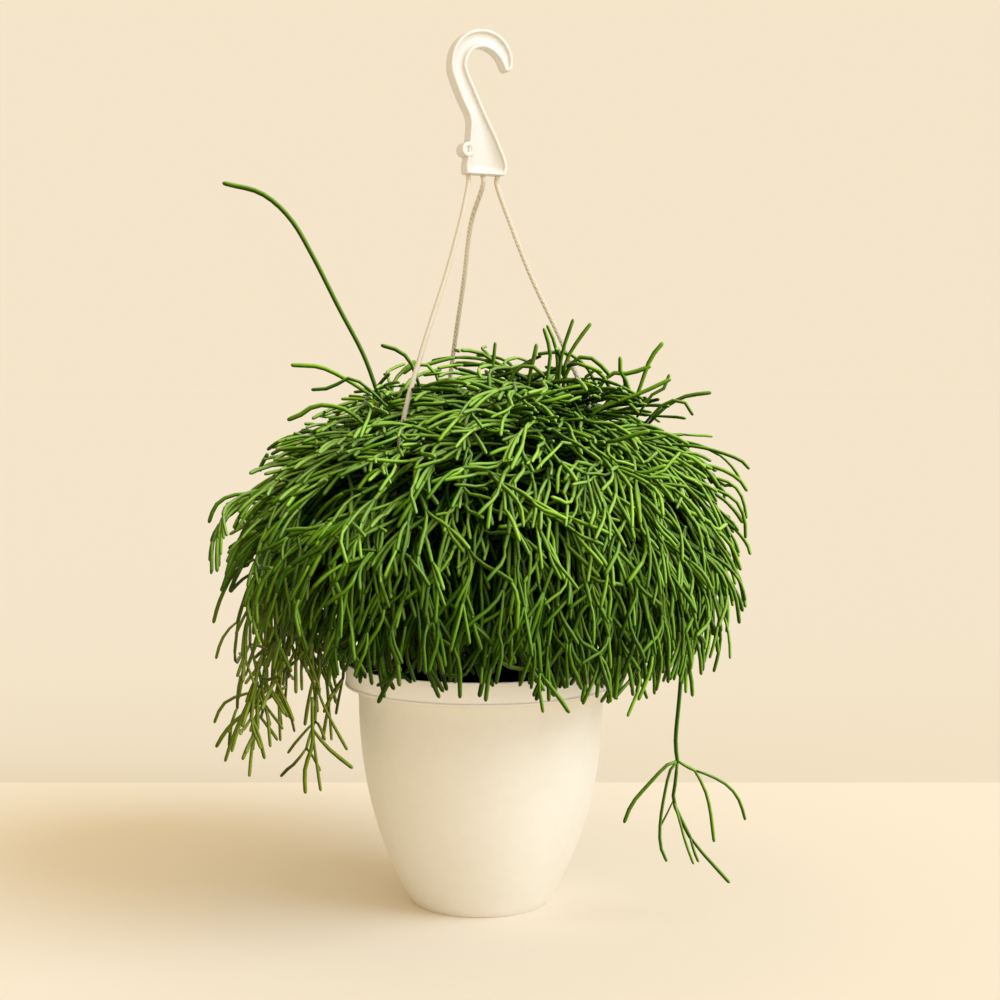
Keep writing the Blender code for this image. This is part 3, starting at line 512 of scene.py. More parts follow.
def arm_route(azimuth, offset):
    """One arm's centre line and radii: out of its socket, over the bow and down to its button."""
    socket = turned_upright(np.array((offset, 0, 0)))
    heights = (HOOK_BASE + 5.7 * MM, HOOK_BASE, HOOK_BASE - 6 * MM)
    top = [socket + (0, 0, z) for z in heights]
    bow = [at_azimuth(azimuth, radius * MM, z * MM) for radius, z in ARM_BOW]
    end = at_azimuth(azimuth, LUG_CIRCLE, LUG_TOP + 2 * MM)
    route = smooth_path(top + bow + [end], 7)
    below = LUG_TOP - LUG_HEIGHT - 0.3 * MM
    button = [(below, 1), (below - 0.1 * MM, 1.9), (below - 2 * MM, 1.9), (below - 2.4 * MM, 1.6)]
    foot = [at_azimuth(azimuth, LUG_CIRCLE, z) for z, _ in button]
    radii = ARM_RADIUS * np.array([1] * len(route) + [share for _, share in button])
    return np.vstack([route, foot]), radii


# Polypropylene drawn out into a rod: creamier than the hook, with fine twisted draw lines 0.8 mm
# apart that run round it as they climb.
arm_plastic, shader = new_material("polypropylene_drawn_cream", "#E9DDC6", 0.5, 1.49)
place = add_node(arm_plastic, "TexCoord").outputs["Object"]
lines = add_node(
    arm_plastic, "TexWave", {"wave_type": "BANDS", "bands_direction": "DIAGONAL"},
    {"Vector": place, "Scale": 390, "Distortion": 2.5, "Detail": 2, "Detail Scale": 1.5},
)
tone = add_node(
    arm_plastic, "Mix", COLOUR_MIX,
    {0: lines.outputs["Fac"], 6: linear("#CABCA2"), 7: linear("#E5DDCD")},
)
twist = add_node(
    arm_plastic, "Bump", None,
    {"Height": lines.outputs["Fac"], "Strength": 0.5, "Distance": 0.3 * MM},
)
feed(shader, {"Base Color": tone.outputs[2], "Normal": twist.outputs["Normal"]})

arms = {}
for name, azimuth, offset in zip(("right", "back", "left"), ARM_AZIMUTHS, SOCKET_OFFSETS):
    route, radii = arm_route(azimuth, offset)
    arms[name] = route
    arm = solid(f"arm_{name}", *tubes(route[None], radii[None], ARM_SIDES), arm_plastic)
    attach(arm, "root")
    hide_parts(f"hanger_arm_{name}")

# The plant: leafless green stems in short joints. Thick old stems rise from the soil and arch
# over, and every joint ends in a fork of two or three younger, shorter ones. They heap into a
# flattened dome, sweep over its shoulder and hang in a skirt round the rim.
MOP_RADIUS, MOP_HEIGHT, SHOULDER, ROUNDNESS, REACH = 119 * MM, 85 * MM, 195 * MM, 0.91, 150 * MM
STEM_RADIUS, STEM_SIDES, ARM_CLEARANCE = 1.15 * MM, 6, 3.4 * MM
# The height where the skirt ends, by azimuth in degrees: long at the left, short at the front.
FRINGE = np.array((
    (-180, 146), (-155, 142), (-140, 124), (-122, 123), (-100, 124), (-75, 121), (-50, 114),
    (-20, 110), (20, 112), (60, 116), (110, 120), (150, 136), (180, 146),
))


def mop_height(azimuth):
    """Height of the dome over its shoulder: 10% lower at the front left, where an arm presses, 2%
    lower at the left and 20% higher at the right, each as exp(-(turn / width)^2) by azimuth."""
    turn = (np.degrees(azimuth) - np.array([[235], [185], [340]]) + 180) % 360 - 180
    press, left, rise = np.exp(-((turn / np.array([[24], [38], [40]])) ** 2))
    return MOP_HEIGHT * (1 - 0.1 * press - 0.02 * left + 0.2 * rise)


def mop_radius(azimuth, height):
    """Radius of the skirt: full down to 30 mm over the shoulder, then R (1 - 0.25 t^2) with t the
    drop below that in units of 85 mm, drawn in half as much at the left. All of it is 4% smaller
    at the right."""
    turn = (np.degrees(azimuth) - np.array([[190], [-10]]) + 180) % 360 - 180
    left, right = np.exp(-((turn / 50) ** 2))
    drop = np.clip((SHOULDER + 30 * MM - height) / (85 * MM), 0, 1.2)
    return MOP_RADIUS * (1 - 0.04 * right) * (1 - 0.25 * drop**2 * (1 - 0.5 * left))


def mop_point(slope, azimuth, depth):
    """A point under the mop's surface: slope 0 is the crown, 1 the shoulder, 2 the skirt's end.

    With s = slope * 90 degrees, the radius is (R - depth) sin(s)^0.91 and the height above the
    shoulder (H - depth) cos(s)^0.91, and past the shoulder it goes straight down.
    """
    angle = np.clip(slope, 0, 1) * np.pi / 2
    hang = np.maximum(slope - 1, 0) * 60 * MM
    height = SHOULDER + (mop_height(azimuth) - depth) * np.cos(angle) ** ROUNDNESS - hang
    radius = (mop_radius(azimuth, height) - depth) * np.sin(angle) ** ROUNDNESS
    return np.stack([radius * np.cos(azimuth), radius * np.sin(azimuth), height], axis=-1)


def mop_frame(points):
    """Down-slope, sideways and outward directions at each point, and its depth in the mop, from
    the superellipse (r / R)^(2 / 0.91) + (h / H)^(2 / 0.91) = size^(2 / 0.91)."""
    azimuth = np.arctan2(points[:, 1], points[:, 0])
    across = np.hypot(points[:, 0], points[:, 1]) / mop_radius(azimuth, points[:, 2])
    above = np.maximum(points[:, 2] - SHOULDER, 0) / mop_height(azimuth)
    power = 1 / ROUNDNESS
    angle = np.arctan2(across**power, above**power)
    size = (across ** (2 * power) + above ** (2 * power)) ** (ROUNDNESS / 2)
    side = np.stack([-np.sin(azimuth), np.cos(azimuth), 0 * azimuth], axis=1)
    out = np.stack([np.cos(azimuth), np.sin(azimuth), 0 * azimuth], axis=1)
    out *= np.sin(angle)[:, None]
    out[:, 2] = np.cos(angle)
    return np.cross(side, out), side, out, (1 - size) * MOP_RADIUS


def spun(heading, out, angle, lift):
    """Headings turned about the outward direction by an angle, then tipped outwards by a lift."""
    swung = heading * np.cos(angle)[:, None] + np.cross(out, heading) * np.sin(angle)[:, None]
    return unit(swung + out * lift[:, None])


def grow(start, heading, length, bend, layer, fall, cling):
    """One joint for each start, as five points, and the headings it ends with.

    At each step the heading turns by the joint's own bend, one way at first and back at the end,
    and then towards the fall line and the layer under the surface that its stem keeps to. A
    heading that rises out of the surface near the crown is pressed down.
    """
    points = [start]
    step = (length / 4)[:, None]
    for share in (1.1, 0.95, -0.1, -0.95):
        points.append(points[-1] + heading * step)
        down, _, out, depth = mop_frame(points[-1])
        heading = spun(heading, out, bend * share, 0 * bend)
        rise = np.sum(heading * out, axis=1) * out[:, 2]
        off = np.clip(depth - layer, -14 * MM, 12 * MM) * cling - 18 * rise
        heading = unit(heading + (down * fall[:, None] + out * off[:, None]) * step)
    return np.stack(points, axis=1), heading


def spread(count, low, high, rng, steepest=1.45):
    """Starts for leading stems over one sector of the mop, a few more at its crown than its area
    asks for.

    The slope follows the running total of the zones' weights, 105 + 90 sin(s)^0.91 down to the
    shoulder and 90 past it, and the azimuth steps by the golden ratio.
    """
    slopes = np.linspace(0.04, steepest, 60)
    dome = 105 + 90 * np.sin(np.clip(slopes, 0, 1) * np.pi / 2) ** ROUNDNESS
    zone = np.where(slopes < 1, dome, 90)
    total = np.cumsum(zone) / zone.sum()
    slope = np.interp((np.arange(count) + rng.random(count)) / count, total, slopes)
    azimuth = low + (high - low) * ((np.arange(count) * 0.618034 + rng.random()) % 1)
    return slope, azimuth


def fork(rng, parents, headings, owners, chance_of_third, keep, widest=0.3):
    """The joints that sprout from the ends of others: one to each side of the parent's heading, by
    6 degrees up to the widest angle, and a third between them. The wider the fan, the more they
    are lifted at random. A side joint grows by the chance to keep it, a third by its own."""
    end = parents[:, -1]
    _, _, out, _ = mop_frame(end)
    fans = []
    for side in (-1, 1, 0):
        angle = side * rng.uniform(0.1, widest, len(end)) + rng.normal(0, 0.05, len(end))
        lives = rng.random(len(end)) < (chance_of_third if side == 0 else keep)
        fanned = spun(headings, out, angle, rng.normal(0.05, 0.6 * widest - 0.06, len(end)))
        fans.append((end[lives], fanned[lives], owners[lives]))
    return [np.concatenate(group) for group in zip(*fans)]


def clear_of_arms(points):
    """Moves points of stems clear of the arms: one at a distance d under the clearance c from an
    arm's centre line goes c - d straight away from it."""
    flat = points.reshape(-1, 3)
    for route in arms.values():
        line = smooth_path(route, 3)
        near = np.abs(flat @ unit(np.array((-line[-8, 1], line[-8, 0], 0)))) < 4 * MM
        near &= flat[:, :2] @ line[-8, :2] > 0
        gap = flat[near, None] - line[None]
        nearest = np.argmin(np.linalg.norm(gap, axis=2), axis=1)
        gap = gap[np.arange(len(gap)), nearest]
        distance = np.linalg.norm(gap, axis=1)[:, None]
        flat[near] += gap / np.maximum(distance, 1e-6) * np.maximum(ARM_CLEARANCE - distance, 0)
    return flat.reshape(points.shape)


def within_reach(points):
    """Draws points in towards the axis where they near the furthest reach R: past R - s, radius r
    becomes R - s + s tanh((r - R + s) / s), with s = 14 mm."""
    radius, s = np.hypot(points[..., 0], points[..., 1]), 14 * MM
    drawn_in = REACH - s + s * np.tanh((radius - REACH + s) / s)
    wanted = np.where(radius < REACH - s, radius, drawn_in)
    points[..., :2] *= (wanted / np.maximum(radius, MM))[..., None]
    return points


def old_stems(rng, foot, slopes, azimuths):
    """Arches from the soil to points under the surface, as (n, 9, 3): the cubic
    (1 - t)^3 p0 + 3 t (1 - t)^2 p1 + 3 t^2 (1 - t) p2 + t^3 p3, with p1 and p2 above the ends."""
    count = len(slopes)
    start = foot + rng.uniform(-5, 5, (count, 3)) * (MM, MM, 0)
    stop = mop_point(slopes, azimuths, rng.uniform(12, 26, count) * MM)
    upward = rng.uniform(60, 95, (count, 1)) * np.array((0, 0, MM))
    rise = start + upward + (stop - start) * (0.12, 0.12, 0)
    over = stop * (0.72, 0.72, 1) + (0, 0, 1) * (rng.uniform(6, 30, (count, 1)) * MM)
    t = np.linspace(0, 1, 9)[None, :, None]
    p0, p1, p2, p3 = [p[:, None] for p in (start, rise, over, stop)]
    return (1 - t) ** 3 * p0 + 3 * t * (1 - t) ** 2 * p1 + 3 * t**2 * (1 - t) * p2 + t**3 * p3


def stem_generations(rng, low, high, foot, leaders, steepest=1.45):
    """All joints of one bunch: arches, feeders, leading stems and three rounds of forks.

    A leading stem starts at the depth where it is rooted and keeps towards the layer that it
    reaches, taken in turn by a fixed step so that all layers fill. A few strays stand out of the
    surface, and some buried ones stay deep. Joints that would end below the ragged hem are
    dropped. Returns a list of (paths, radii in units of the stem's, youth from 0 to 1).
    """
    arch_slopes, arch_azimuths = spread(12, low, high, rng, steepest)
    arches = old_stems(rng, foot, arch_slopes, arch_azimuths)
    made = [(arches, 1.45, 0.0)]
    slope, azimuth = spread(leaders, low, high, rng, steepest)
    flat = np.clip(1 - slope, 0, 1)
    rank = (np.arange(leaders) * 0.754878 + rng.random()) % 1
    rooted = rng.uniform(18 - 12 * smoothstep(flat / 0.4), 32) * MM
    stray = rng.random(leaders) < 0.12 * np.clip(slope, 0.3, 1)
    settled = -6 + (30 - 18 * flat) * rank**1.4
    reached = np.where(stray, rng.uniform(-16, -6, leaders), settled) * MM
    buried = (rank > 0.78) & ~stray & (flat < 0.88)
    rooted[buried] += 12 * MM
    reached[buried] = rooted[buried]
    start = mop_point(slope, azimuth, rooted)
    roots = arches[:, 4:].reshape(-1, 3)
    root = roots[np.argmin(np.linalg.norm(start[:, None] - roots[None], axis=2), axis=1)]
    t = np.linspace(0, 1, 5)[None, :, None]
    sag = ((start + root) / 2 + (0, 0, 4 * MM))[:, None]
    feeders = (1 - t) ** 2 * root[:, None] + 2 * t * (1 - t) * sag + t**2 * start[:, None]
    made.append((feeders, 1.1, 0.15))

    down, _, out, _ = mop_frame(start)
    angle = rng.normal(0, 1, leaders) * (0.2 + 2 * flat**1.4)
    lift = (rooted - reached) / (60 * MM) * (1 - flat) + rng.normal(0, 0.1, leaders)
    heading = spun(down, out, angle, lift)
    owner = np.arange(leaders)
    fall = (3 + 19 * np.clip(slope, 0, 1)) * rng.uniform(0.6, 1.3, leaders)
    # Shortest and longest joint of each round in mm, how far it has come from the rooted depth to
    # its layer, and the chances of a third joint and of each side joint in the fork before it.
    rounds = (
        (26, 42, 0.6, None, None), (22, 35, 0.95, 0.35, 1), (19, 31, 1.05, 0.2, 0.72),
        (15, 27, 1.1, 0.05, 0.4),
    )
    for order, (shortest, longest, share, third, keep) in enumerate(rounds):
        if order:
            start, heading, owner = fork(rng, paths, heading, owner, third, keep)
        length = rng.uniform(shortest, longest, len(start)) * (1 - 0.45 * flat[owner] ** 2) * MM
        bend = rng.normal(0, 1, len(start)) * (0.19 + 0.31 * flat[owner] ** 2)
        layer = rooted + (reached - rooted) * share
        paths, heading = grow(start, heading, length, bend, layer[owner], fall[owner], 1000)
        end = paths[:, -1]
        degrees = np.degrees(np.arctan2(end[:, 1], end[:, 0]))
        ragged = 7 + 10 * np.exp(-(((degrees % 360 - 185) / 35) ** 2))
        hem = np.interp(degrees, FRINGE[:, 0], FRINGE[:, 1])
        hem += np.maximum(rng.normal(2.4, 1.2, len(end)), 0.7) * ragged
        alive = end[:, 2] > hem * MM
        paths, heading, owner = paths[alive], heading[alive], owner[alive]
        made.append((paths, 1 - 0.06 * order, 0.3 + 0.17 * order))
    return made


def trailing_generations(rng, low, high, count):
    """Loose strands that hang far below the skirt on the left: up to nine thin joints one under
    the other, with others that fork off their ends and a whorl of two or three at the last. A
    strand ends where it would leave the left side, between 160 and 211 degrees."""
    azimuth = low + (high - low) * (np.arange(count) + rng.random(count)) / count
    layer = rng.uniform(-2, 22, count) * MM
    start = mop_point(rng.uniform(0.7, 1.4, count), azimuth, layer)
    down, _, out, _ = mop_frame(start)
    heading = spun(down, out, rng.normal(0, 0.1, count), rng.normal(0, 0.08, count))
    lowest, owner = rng.triangular(82, 106, 185, count) * MM, np.arange(count)
    made = []
    for _ in range(9):
        many = len(start)
        paths, heading = grow(
            start, heading, rng.uniform(14, 24, many) * MM, rng.normal(0, 0.42, many), layer[owner],
            np.full(many, 16.0), 60,
        )
        degrees = np.degrees(np.arctan2(paths[:, -1, 1], paths[:, -1, 0])) % 360
        kept = (degrees > 160) & (degrees < 211)
        paths, heading, owner = paths[kept], heading[kept], owner[kept]
        made.append((paths, 0.84, 0.45))
        last = paths[:, -1, 2] < lowest[owner] + 18 * MM
        for group, third, keep, widest in ((last, 0.6, 0.95, 0.75), (~last, 0.0, 0.36, 0.9)):
            tip_start, tip_heading, tip_owner = fork(
                rng, paths[group], heading[group], owner[group], third, keep, widest
            )
            many = len(tip_start)
            tips, _ = grow(
                tip_start, tip_heading, rng.uniform(13, 27, many) * MM, rng.normal(0, 0.3, many),
                layer[tip_owner], np.full(many, 22.0), 20,
            )
            made.append((tips, 0.78, 0.65))
        start, heading, owner = paths[~last, -1], heading[~last], owner[~last]
        _, _, out, _ = mop_frame(start)
        angle, lift = rng.normal(0, 0.38, len(start)), rng.normal(0, 0.26, len(start))
        heading = spun(heading, out, angle, lift)
    return made


def drawn(route, thickness, youth_and_shade):
    """A single stem along a smooth curve through the points of its route, in mm, with a point at
    every 5 mm of its length."""
    path = smooth_path(np.array(route) * MM, 8)
    run = np.concatenate([[0], np.cumsum(np.linalg.norm(np.diff(path, axis=0), axis=1))])
    places = np.linspace(0, run[-1], max(5, int(run[-1] / (5 * MM))))
    path = np.stack([np.interp(places, run, path[:, k]) for k in range(3)], axis=1)
    return path[None], thickness, youth_and_shade


def bunch_solid(name, made, rng, material):
    """One mesh of all the joints of a bunch. Each swells from a narrow root towards a rounded tip,
    and carries a tint, a youth and an olive tone for its colour.

    Youth rises along a joint. Painted shade is taken from it with depth, less so high up, and
    towards the foot of the mop, most at the front and the front left, and a little painted light
    is added at the left, where the studio light is dimmer. The olive tone comes in low at the left.
    """
    points, faces, tints, youth_and_shade_values, olives, base = [], [], [], [], [], 0
    for paths, thickness, youth_and_shade in made:
        count = len(paths)
        if not count:
            continue
        paths = clear_of_arms(within_reach(paths))
        radius = STEM_RADIUS * thickness * rng.uniform(0.85, 1.15, count)
        tip = unit(paths[:, -1] - paths[:, -2])[:, None] * radius[:, None, None]
        beyond = [paths[:, -1:] + tip * reach for reach in (0.9, 1.4)]
        paths = np.concatenate([paths, *beyond], axis=1)
        swell = np.linspace(0.9, 1.08, paths.shape[1] - 4)
        shape = np.concatenate([[0.72], swell, [1.0, 0.78, 0.36]])
        grid, groups = tubes(paths, radius[:, None] * shape, STEM_SIDES)
        surface = grid.reshape(-1, 3)
        height = surface[:, 2]
        points.append(surface)
        faces.append([group + base for group in groups])
        base += grid.size // 3
        along = np.linspace(0, 1, paths.shape[1])[None, :, None] + 0 * grid[..., 0]
        tints.append((rng.random(count)[:, None, None] + 0 * along).ravel())
        # Painted shade: the value drops with depth in the mop, less high up, towards the foot and
        # in a hollow at the front left.
        inner = smoothstep((mop_frame(surface)[3] + 3 * MM) / (15 * MM))
        low = smoothstep((235 * MM - height) / (80 * MM))
        high = smoothstep((height - 205 * MM) / (65 * MM))
        west, front = -unit(surface[:, :2]).T
        corner = np.maximum(0.6 * west + 0.8 * front, 0) ** 6
        shade = 0.18 + 0.32 * np.maximum(front, 0) + 0.17 * corner
        shaded = np.maximum(inner * (1 - 0.74 * high), low * shade)
        shaded *= smoothstep((height - 112 * MM) / (30 * MM))
        olive = smoothstep((west - 0.6) / 0.3) * smoothstep((195 * MM - height) / (60 * MM))
        shaded *= 1 - 0.6 * olive
        # A little painted light at the left, where the studio light is dimmer.
        fresh = (youth_and_shade + 0.15 * along + 0.25 * (along > 0.9)).ravel() + 0.1 * np.maximum(west, 0)
        youth_and_shade_values.append(fresh - 0.9 * shaded)
        olives.append(olive)
    joined = [np.concatenate([group[k] for group in faces]) for k in range(3)]
    piece = solid(name, np.concatenate(points), joined, material)
    for label, values in (("tint", tints), ("youth_and_shade", youth_and_shade_values), ("olive", olives)):
        layer = piece.data.attributes.new(label, "FLOAT", "POINT")
        layer.data.foreach_set("value", np.concatenate(values).astype(np.float32))
    return piece


# Living stem: a smooth, waxy skin with a green gloss. Old joints are deep green, young ones fresh
# green, and low at the left they turn olive; the mix towards deep green also carries painted shade.
# Each joint has its own tint. The colour is painted lighter on the side that faces the key light
# and darker on the side away from it, and young joints get a pale painted highlight on the lit
# side. Mottling is drawn at 3 mm.
stem_skin, shader = new_material("cactus_stem_waxy", "#4F8A2B", 0.4, 1.45)
tint = add_node(stem_skin, "Attribute", {"attribute_name": "tint"}).outputs["Fac"]
youth_and_shade = add_node(stem_skin, "Attribute", {"attribute_name": "youth_and_shade"}).outputs["Fac"]
place = add_node(stem_skin, "TexCoord").outputs["Object"]
mottle = add_node(stem_skin, "TexNoise", None, {"Vector": place, "Scale": 330, "Detail": 2})
old = add_node(
    stem_skin, "Mix", COLOUR_MIX, {0: tint, 6: linear("#112B00"), 7: linear("#204A02")}
)
young = add_node(
    stem_skin, "Mix", COLOUR_MIX, {0: tint, 6: linear("#3A6E04"), 7: linear("#82B61E")}
)
olive = add_node(stem_skin, "Attribute", {"attribute_name": "olive"}).outputs["Fac"]
trailed = add_node(
    stem_skin, "Mix", COLOUR_MIX, {0: olive, 6: young.outputs[2], 7: linear("#82981A")}
)
aged_and_shaded = add_node(
    stem_skin, "Mix", COLOUR_MIX, {0: youth_and_shade, 6: old.outputs[2], 7: trailed.outputs[2]}
)
flecked = add_node(
    stem_skin, "Mix", {"data_type": "RGBA", "blend_type": "MULTIPLY"},
    {0: 0.5, 6: aged_and_shaded.outputs[2], 7: mottle.outputs["Fac"]},
)
# Painted light and shade: the colour is scaled from 0.3 on the side away from the key light up to
# 2.1 on the side that faces it.
facing = add_node(stem_skin, "NewGeometry").outputs["Normal"]
upward = add_node(
    stem_skin, "VectorMath", {"operation": "DOT_PRODUCT"}, {0: facing, 1: (0.7, -0.25, 0.67)}
)
painted_light_and_shade = add_node(
    stem_skin, "MapRange", {"interpolation_type": "SMOOTHSTEP"},
    {
        "Value": upward.outputs["Value"], "From Min": -0.25, "From Max": 1.0, "To Min": 0.3,
        "To Max": 2.1,
    },
)
lit_and_shaded_skin = add_node(
    stem_skin, "VectorMath", {"operation": "SCALE"},
    {0: flecked.outputs[2], "Scale": painted_light_and_shade.outputs["Result"]},
)
# Painted highlight: young joints are mixed towards pale green on the side that faces the key light.
painted_highlight = add_node(
    stem_skin, "MapRange", {"interpolation_type": "SMOOTHSTEP"},
    {
        "Value": upward.outputs["Value"], "From Min": 0.35, "From Max": 0.95, "To Min": 0.0,
        "To Max": 0.62,
    },
)
painted_highlight_on_young = add_node(
    stem_skin, "Math", {"operation": "MULTIPLY", "use_clamp": True},
    {0: painted_highlight.outputs["Result"], 1: youth_and_shade},
)
painted_highlight_skin = add_node(
    stem_skin, "Mix", COLOUR_MIX,
    {0: painted_highlight_on_young.outputs[0], 6: lit_and_shaded_skin.outputs["Vector"], 7: linear("#BAD47C")},
)
wax = add_node(
    stem_skin, "Bump", None,
    {"Height": mottle.outputs["Fac"], "Strength": 0.15, "Distance": 0.4 * MM},
)
feed(shader, {
    "Base Color": painted_highlight_skin.outputs[2], "Normal": wax.outputs["Normal"],
    "Specular IOR Level": 0.25, "Specular Tint": linear("#C8E070"),
})

# The long shoot that points up to the left: radius and height of its points, in mm.
SHOOT = [
    at_azimuth(185, radius, z)
    for radius, z in (
        (42, 250), (50, 264), (56, 280), (64, 302), (77, 327), (91, 355), (103, 375), (118, 388),
        (137, 393),
    )
]
# The single stem that trails at the right, and the whorls it ends in: x, y and z in mm.
TRAILER = (
    (((110, -48, 196), (107, -50, 160), (105, -50, 125), (103, -50, 100), (104, -50, 88)), 1.0),
    (((104, -50, 88), (98, -52, 86), (89, -54, 77), (80, -56, 67), (76, -57, 58)), 0.82),
    (((104, -50, 88), (100, -51, 83), (97, -52, 70), (95, -52, 56), (95, -53, 44),
      (98, -53, 36)), 0.8),
    (((104, -50, 88), (103, -50, 77), (102, -50, 67), (106, -49, 57), (111, -48, 47)), 0.9),
    (((111, -48, 47), (117, -47, 39), (124, -46, 31), (132, -45, 22)), 0.8),
    (((102, -50, 67), (105, -52, 57), (108, -54, 46), (112, -55, 35)), 0.6),
    (((111, -48, 47), (113, -50, 40), (115, -51, 35)), 0.55),
    (((102, -50, 67), (99, -49, 60), (95, -49, 52)), 0.5),
    (((104, -50, 88), (109, -50, 85), (113, -50, 83)), 0.85),
    (((113, -50, 83), (118, -52, 74), (121, -53, 63), (123, -54, 47)), 0.8),
    (((113, -50, 83), (121, -49, 80), (130, -48, 75), (138, -47, 67), (145, -46, 56)), 0.82),
)
# Single joints that stand out of the outline, and at the end ten that hang inside over the soil,
# each through its points in mm.
SPRIGS = (
    ((42, -30, 278), (42, -30, 291), (44, -30, 304), (49, -30, 319)),
    ((44, -30, 290), (46, -30, 299), (52, -30, 309), (58, -30, 317)),
    ((38, -28, 280), (41, -28, 292), (40, -28, 306), (36, -28, 316)),
    ((34, -35, 280), (36, -35, 292), (37, -35, 303), (34, -35, 314)),
    ((64, -20, 278), (59, -20, 292), (51, -20, 300), (43, -20, 303), (32, -20, 302)),
    ((25, -20, 282), (27, -20, 293), (29, -20, 301), (30, -20, 306)),
    ((2, -20, 276), (5, -20, 287), (7, -20, 298), (8, -20, 307)),
    ((-32, -30, 284), (-36, -30, 296), (-42, -30, 303), (-51, -30, 306)),
    ((82, -20, 274), (86, -20, 285), (91, -20, 299), (97, -20, 307)),
    ((43, -20, 278), (47, -20, 294), (53, -20, 300), (61, -20, 299), (69, -20, 291)),
    ((52, -24, 278), (58, -24, 292), (64, -24, 292), (69, -24, 284)),
    ((60, -20, 278), (69, -20, 291), (76, -20, 291), (85, -20, 293), (90, -20, 295)),
    ((82, -20, 276), (78, -20, 288), (75, -20, 293), (75, -20, 299)),
    ((84, -20, 268), (92, -20, 280), (99, -20, 284), (101, -20, 290)),
    ((88, -16, 264), (100, -16, 276), (110, -16, 276), (114, -16, 270)),
    ((-20, -24, 278), (-24, -24, 292), (-32, -24, 297), (-40, -24, 292)),
    ((14, -24, 280), (18, -24, 292), (26, -24, 296), (33, -24, 291)),
    ((92, 0, 264), (101, 0, 273), (112, 0, 279), (125, 0, 281)),
    ((56, -40, 266), (63, -40, 273), (84, -40, 281), (99, -40, 288)),
    ((-60, -8, 280), (-74, -9, 289), (-87, -9, 295), (-101, -10, 296)),
    ((-60, -60, 266), (-69, -60, 273), (-83, -60, 275), (-92, -60, 270), (-97, -60, 268)),
    ((-48, -50, 274), (-57, -50, 283), (-67, -50, 289), (-77, -50, 284), (-86, -50, 283)),
    ((-112, -34, 226), (-126, -36, 228), (-138, -38, 224), (-148, -40, 214)),
    ((-116, -30, 226), (-128, -30, 222), (-138, -30, 210), (-141, -30, 198)),
    ((-124, -6, 190), (-134, -6, 184), (-142, -6, 171), (-150, -6, 156)),
    ((92, -20, 254), (118, -20, 252), (138, -20, 246), (146, -20, 241)),
    ((102, -30, 245), (124, -30, 242), (137, -30, 236), (143, -30, 230)),
    ((112, -12, 238), (134, -12, 233), (143, -12, 224), (146, -12, 214)),
    ((120, -30, 232), (135, -30, 225), (142, -30, 214), (143, -30, 205)),
    ((118, -40, 214), (131, -40, 203), (138, -40, 189)),
    ((118, -30, 198), (130, -30, 186), (135, -30, 171)),
    ((122, -10, 200), (135, -10, 190), (142, -10, 179), (145, -10, 168)),
    ((112, -40, 184), (118, -40, 172), (124, -40, 157), (126, -40, 145)),
    ((-104, -30, 124), (-118, -30, 115), (-132, -30, 105), (-143, -30, 92)),
    ((-116, -10, 118), (-130, -10, 116), (-141, -10, 111), (-149, -10, 101)),
    ((-118, -38, 128), (-124, -38, 116), (-131, -38, 100), (-136, -38, 86)),
    ((-88, -50, 122), (-88, -50, 108), (-88, -50, 97), (-92, -50, 84), (-92, -50, 72)),
    ((-88, -50, 104), (-86, -50, 88), (-84, -50, 73)),
    ((-88, -50, 105), (-80, -50, 95), (-68, -50, 85)),
    ((-86, -42, 124), (-82, -42, 114), (-78, -42, 106), (-71, -42, 93)),
    ((-20, 30, 168), (-17, 30, 156), (-14, 30, 147), (-12, 30, 136)),
    ((-9, 32, 166), (-12, 32, 155), (-13.5, 32, 145), (-17, 32, 135)),
    ((-4, 34, 168), (-7, 34, 157), (-9.5, 34, 147), (-10, 34, 136)),
    ((-18, 28, 160), (-16, 28, 150), (-15, 28, 141), (-11, 28, 134)),
    ((-50, 30, 166), (-52, 30, 152), (-53, 30, 143), (-56, 30, 136)),
    ((-56, 32, 164), (-53, 32, 150), (-55, 32, 141), (-54, 32, 135)),
    ((12, 30, 166), (10, 30, 154), (9, 30, 143), (6, 30, 135)),
    ((6, 32, 164), (8, 32, 153), (10, 32, 143), (13, 32, 135)),
    ((-40, 30, 166), (-37, 30, 152), (-37, 30, 143), (-39, 30, 135)),
    ((-62, 28, 164), (-63, 28, 152), (-64, 28, 143), (-62, 28, 136)),
)
BUNCHES, FIRST_AZIMUTH, SECTOR, FOOT_RINGS = 12, -10, 30, (42 * MM, 26 * MM)
LEADERS, CROWN_LEADERS, CROWN_EDGE, ROOTED = 77, 215, 0.7, 3 * MM
FIRST_SEED, CROWN_SEED = 100, 99
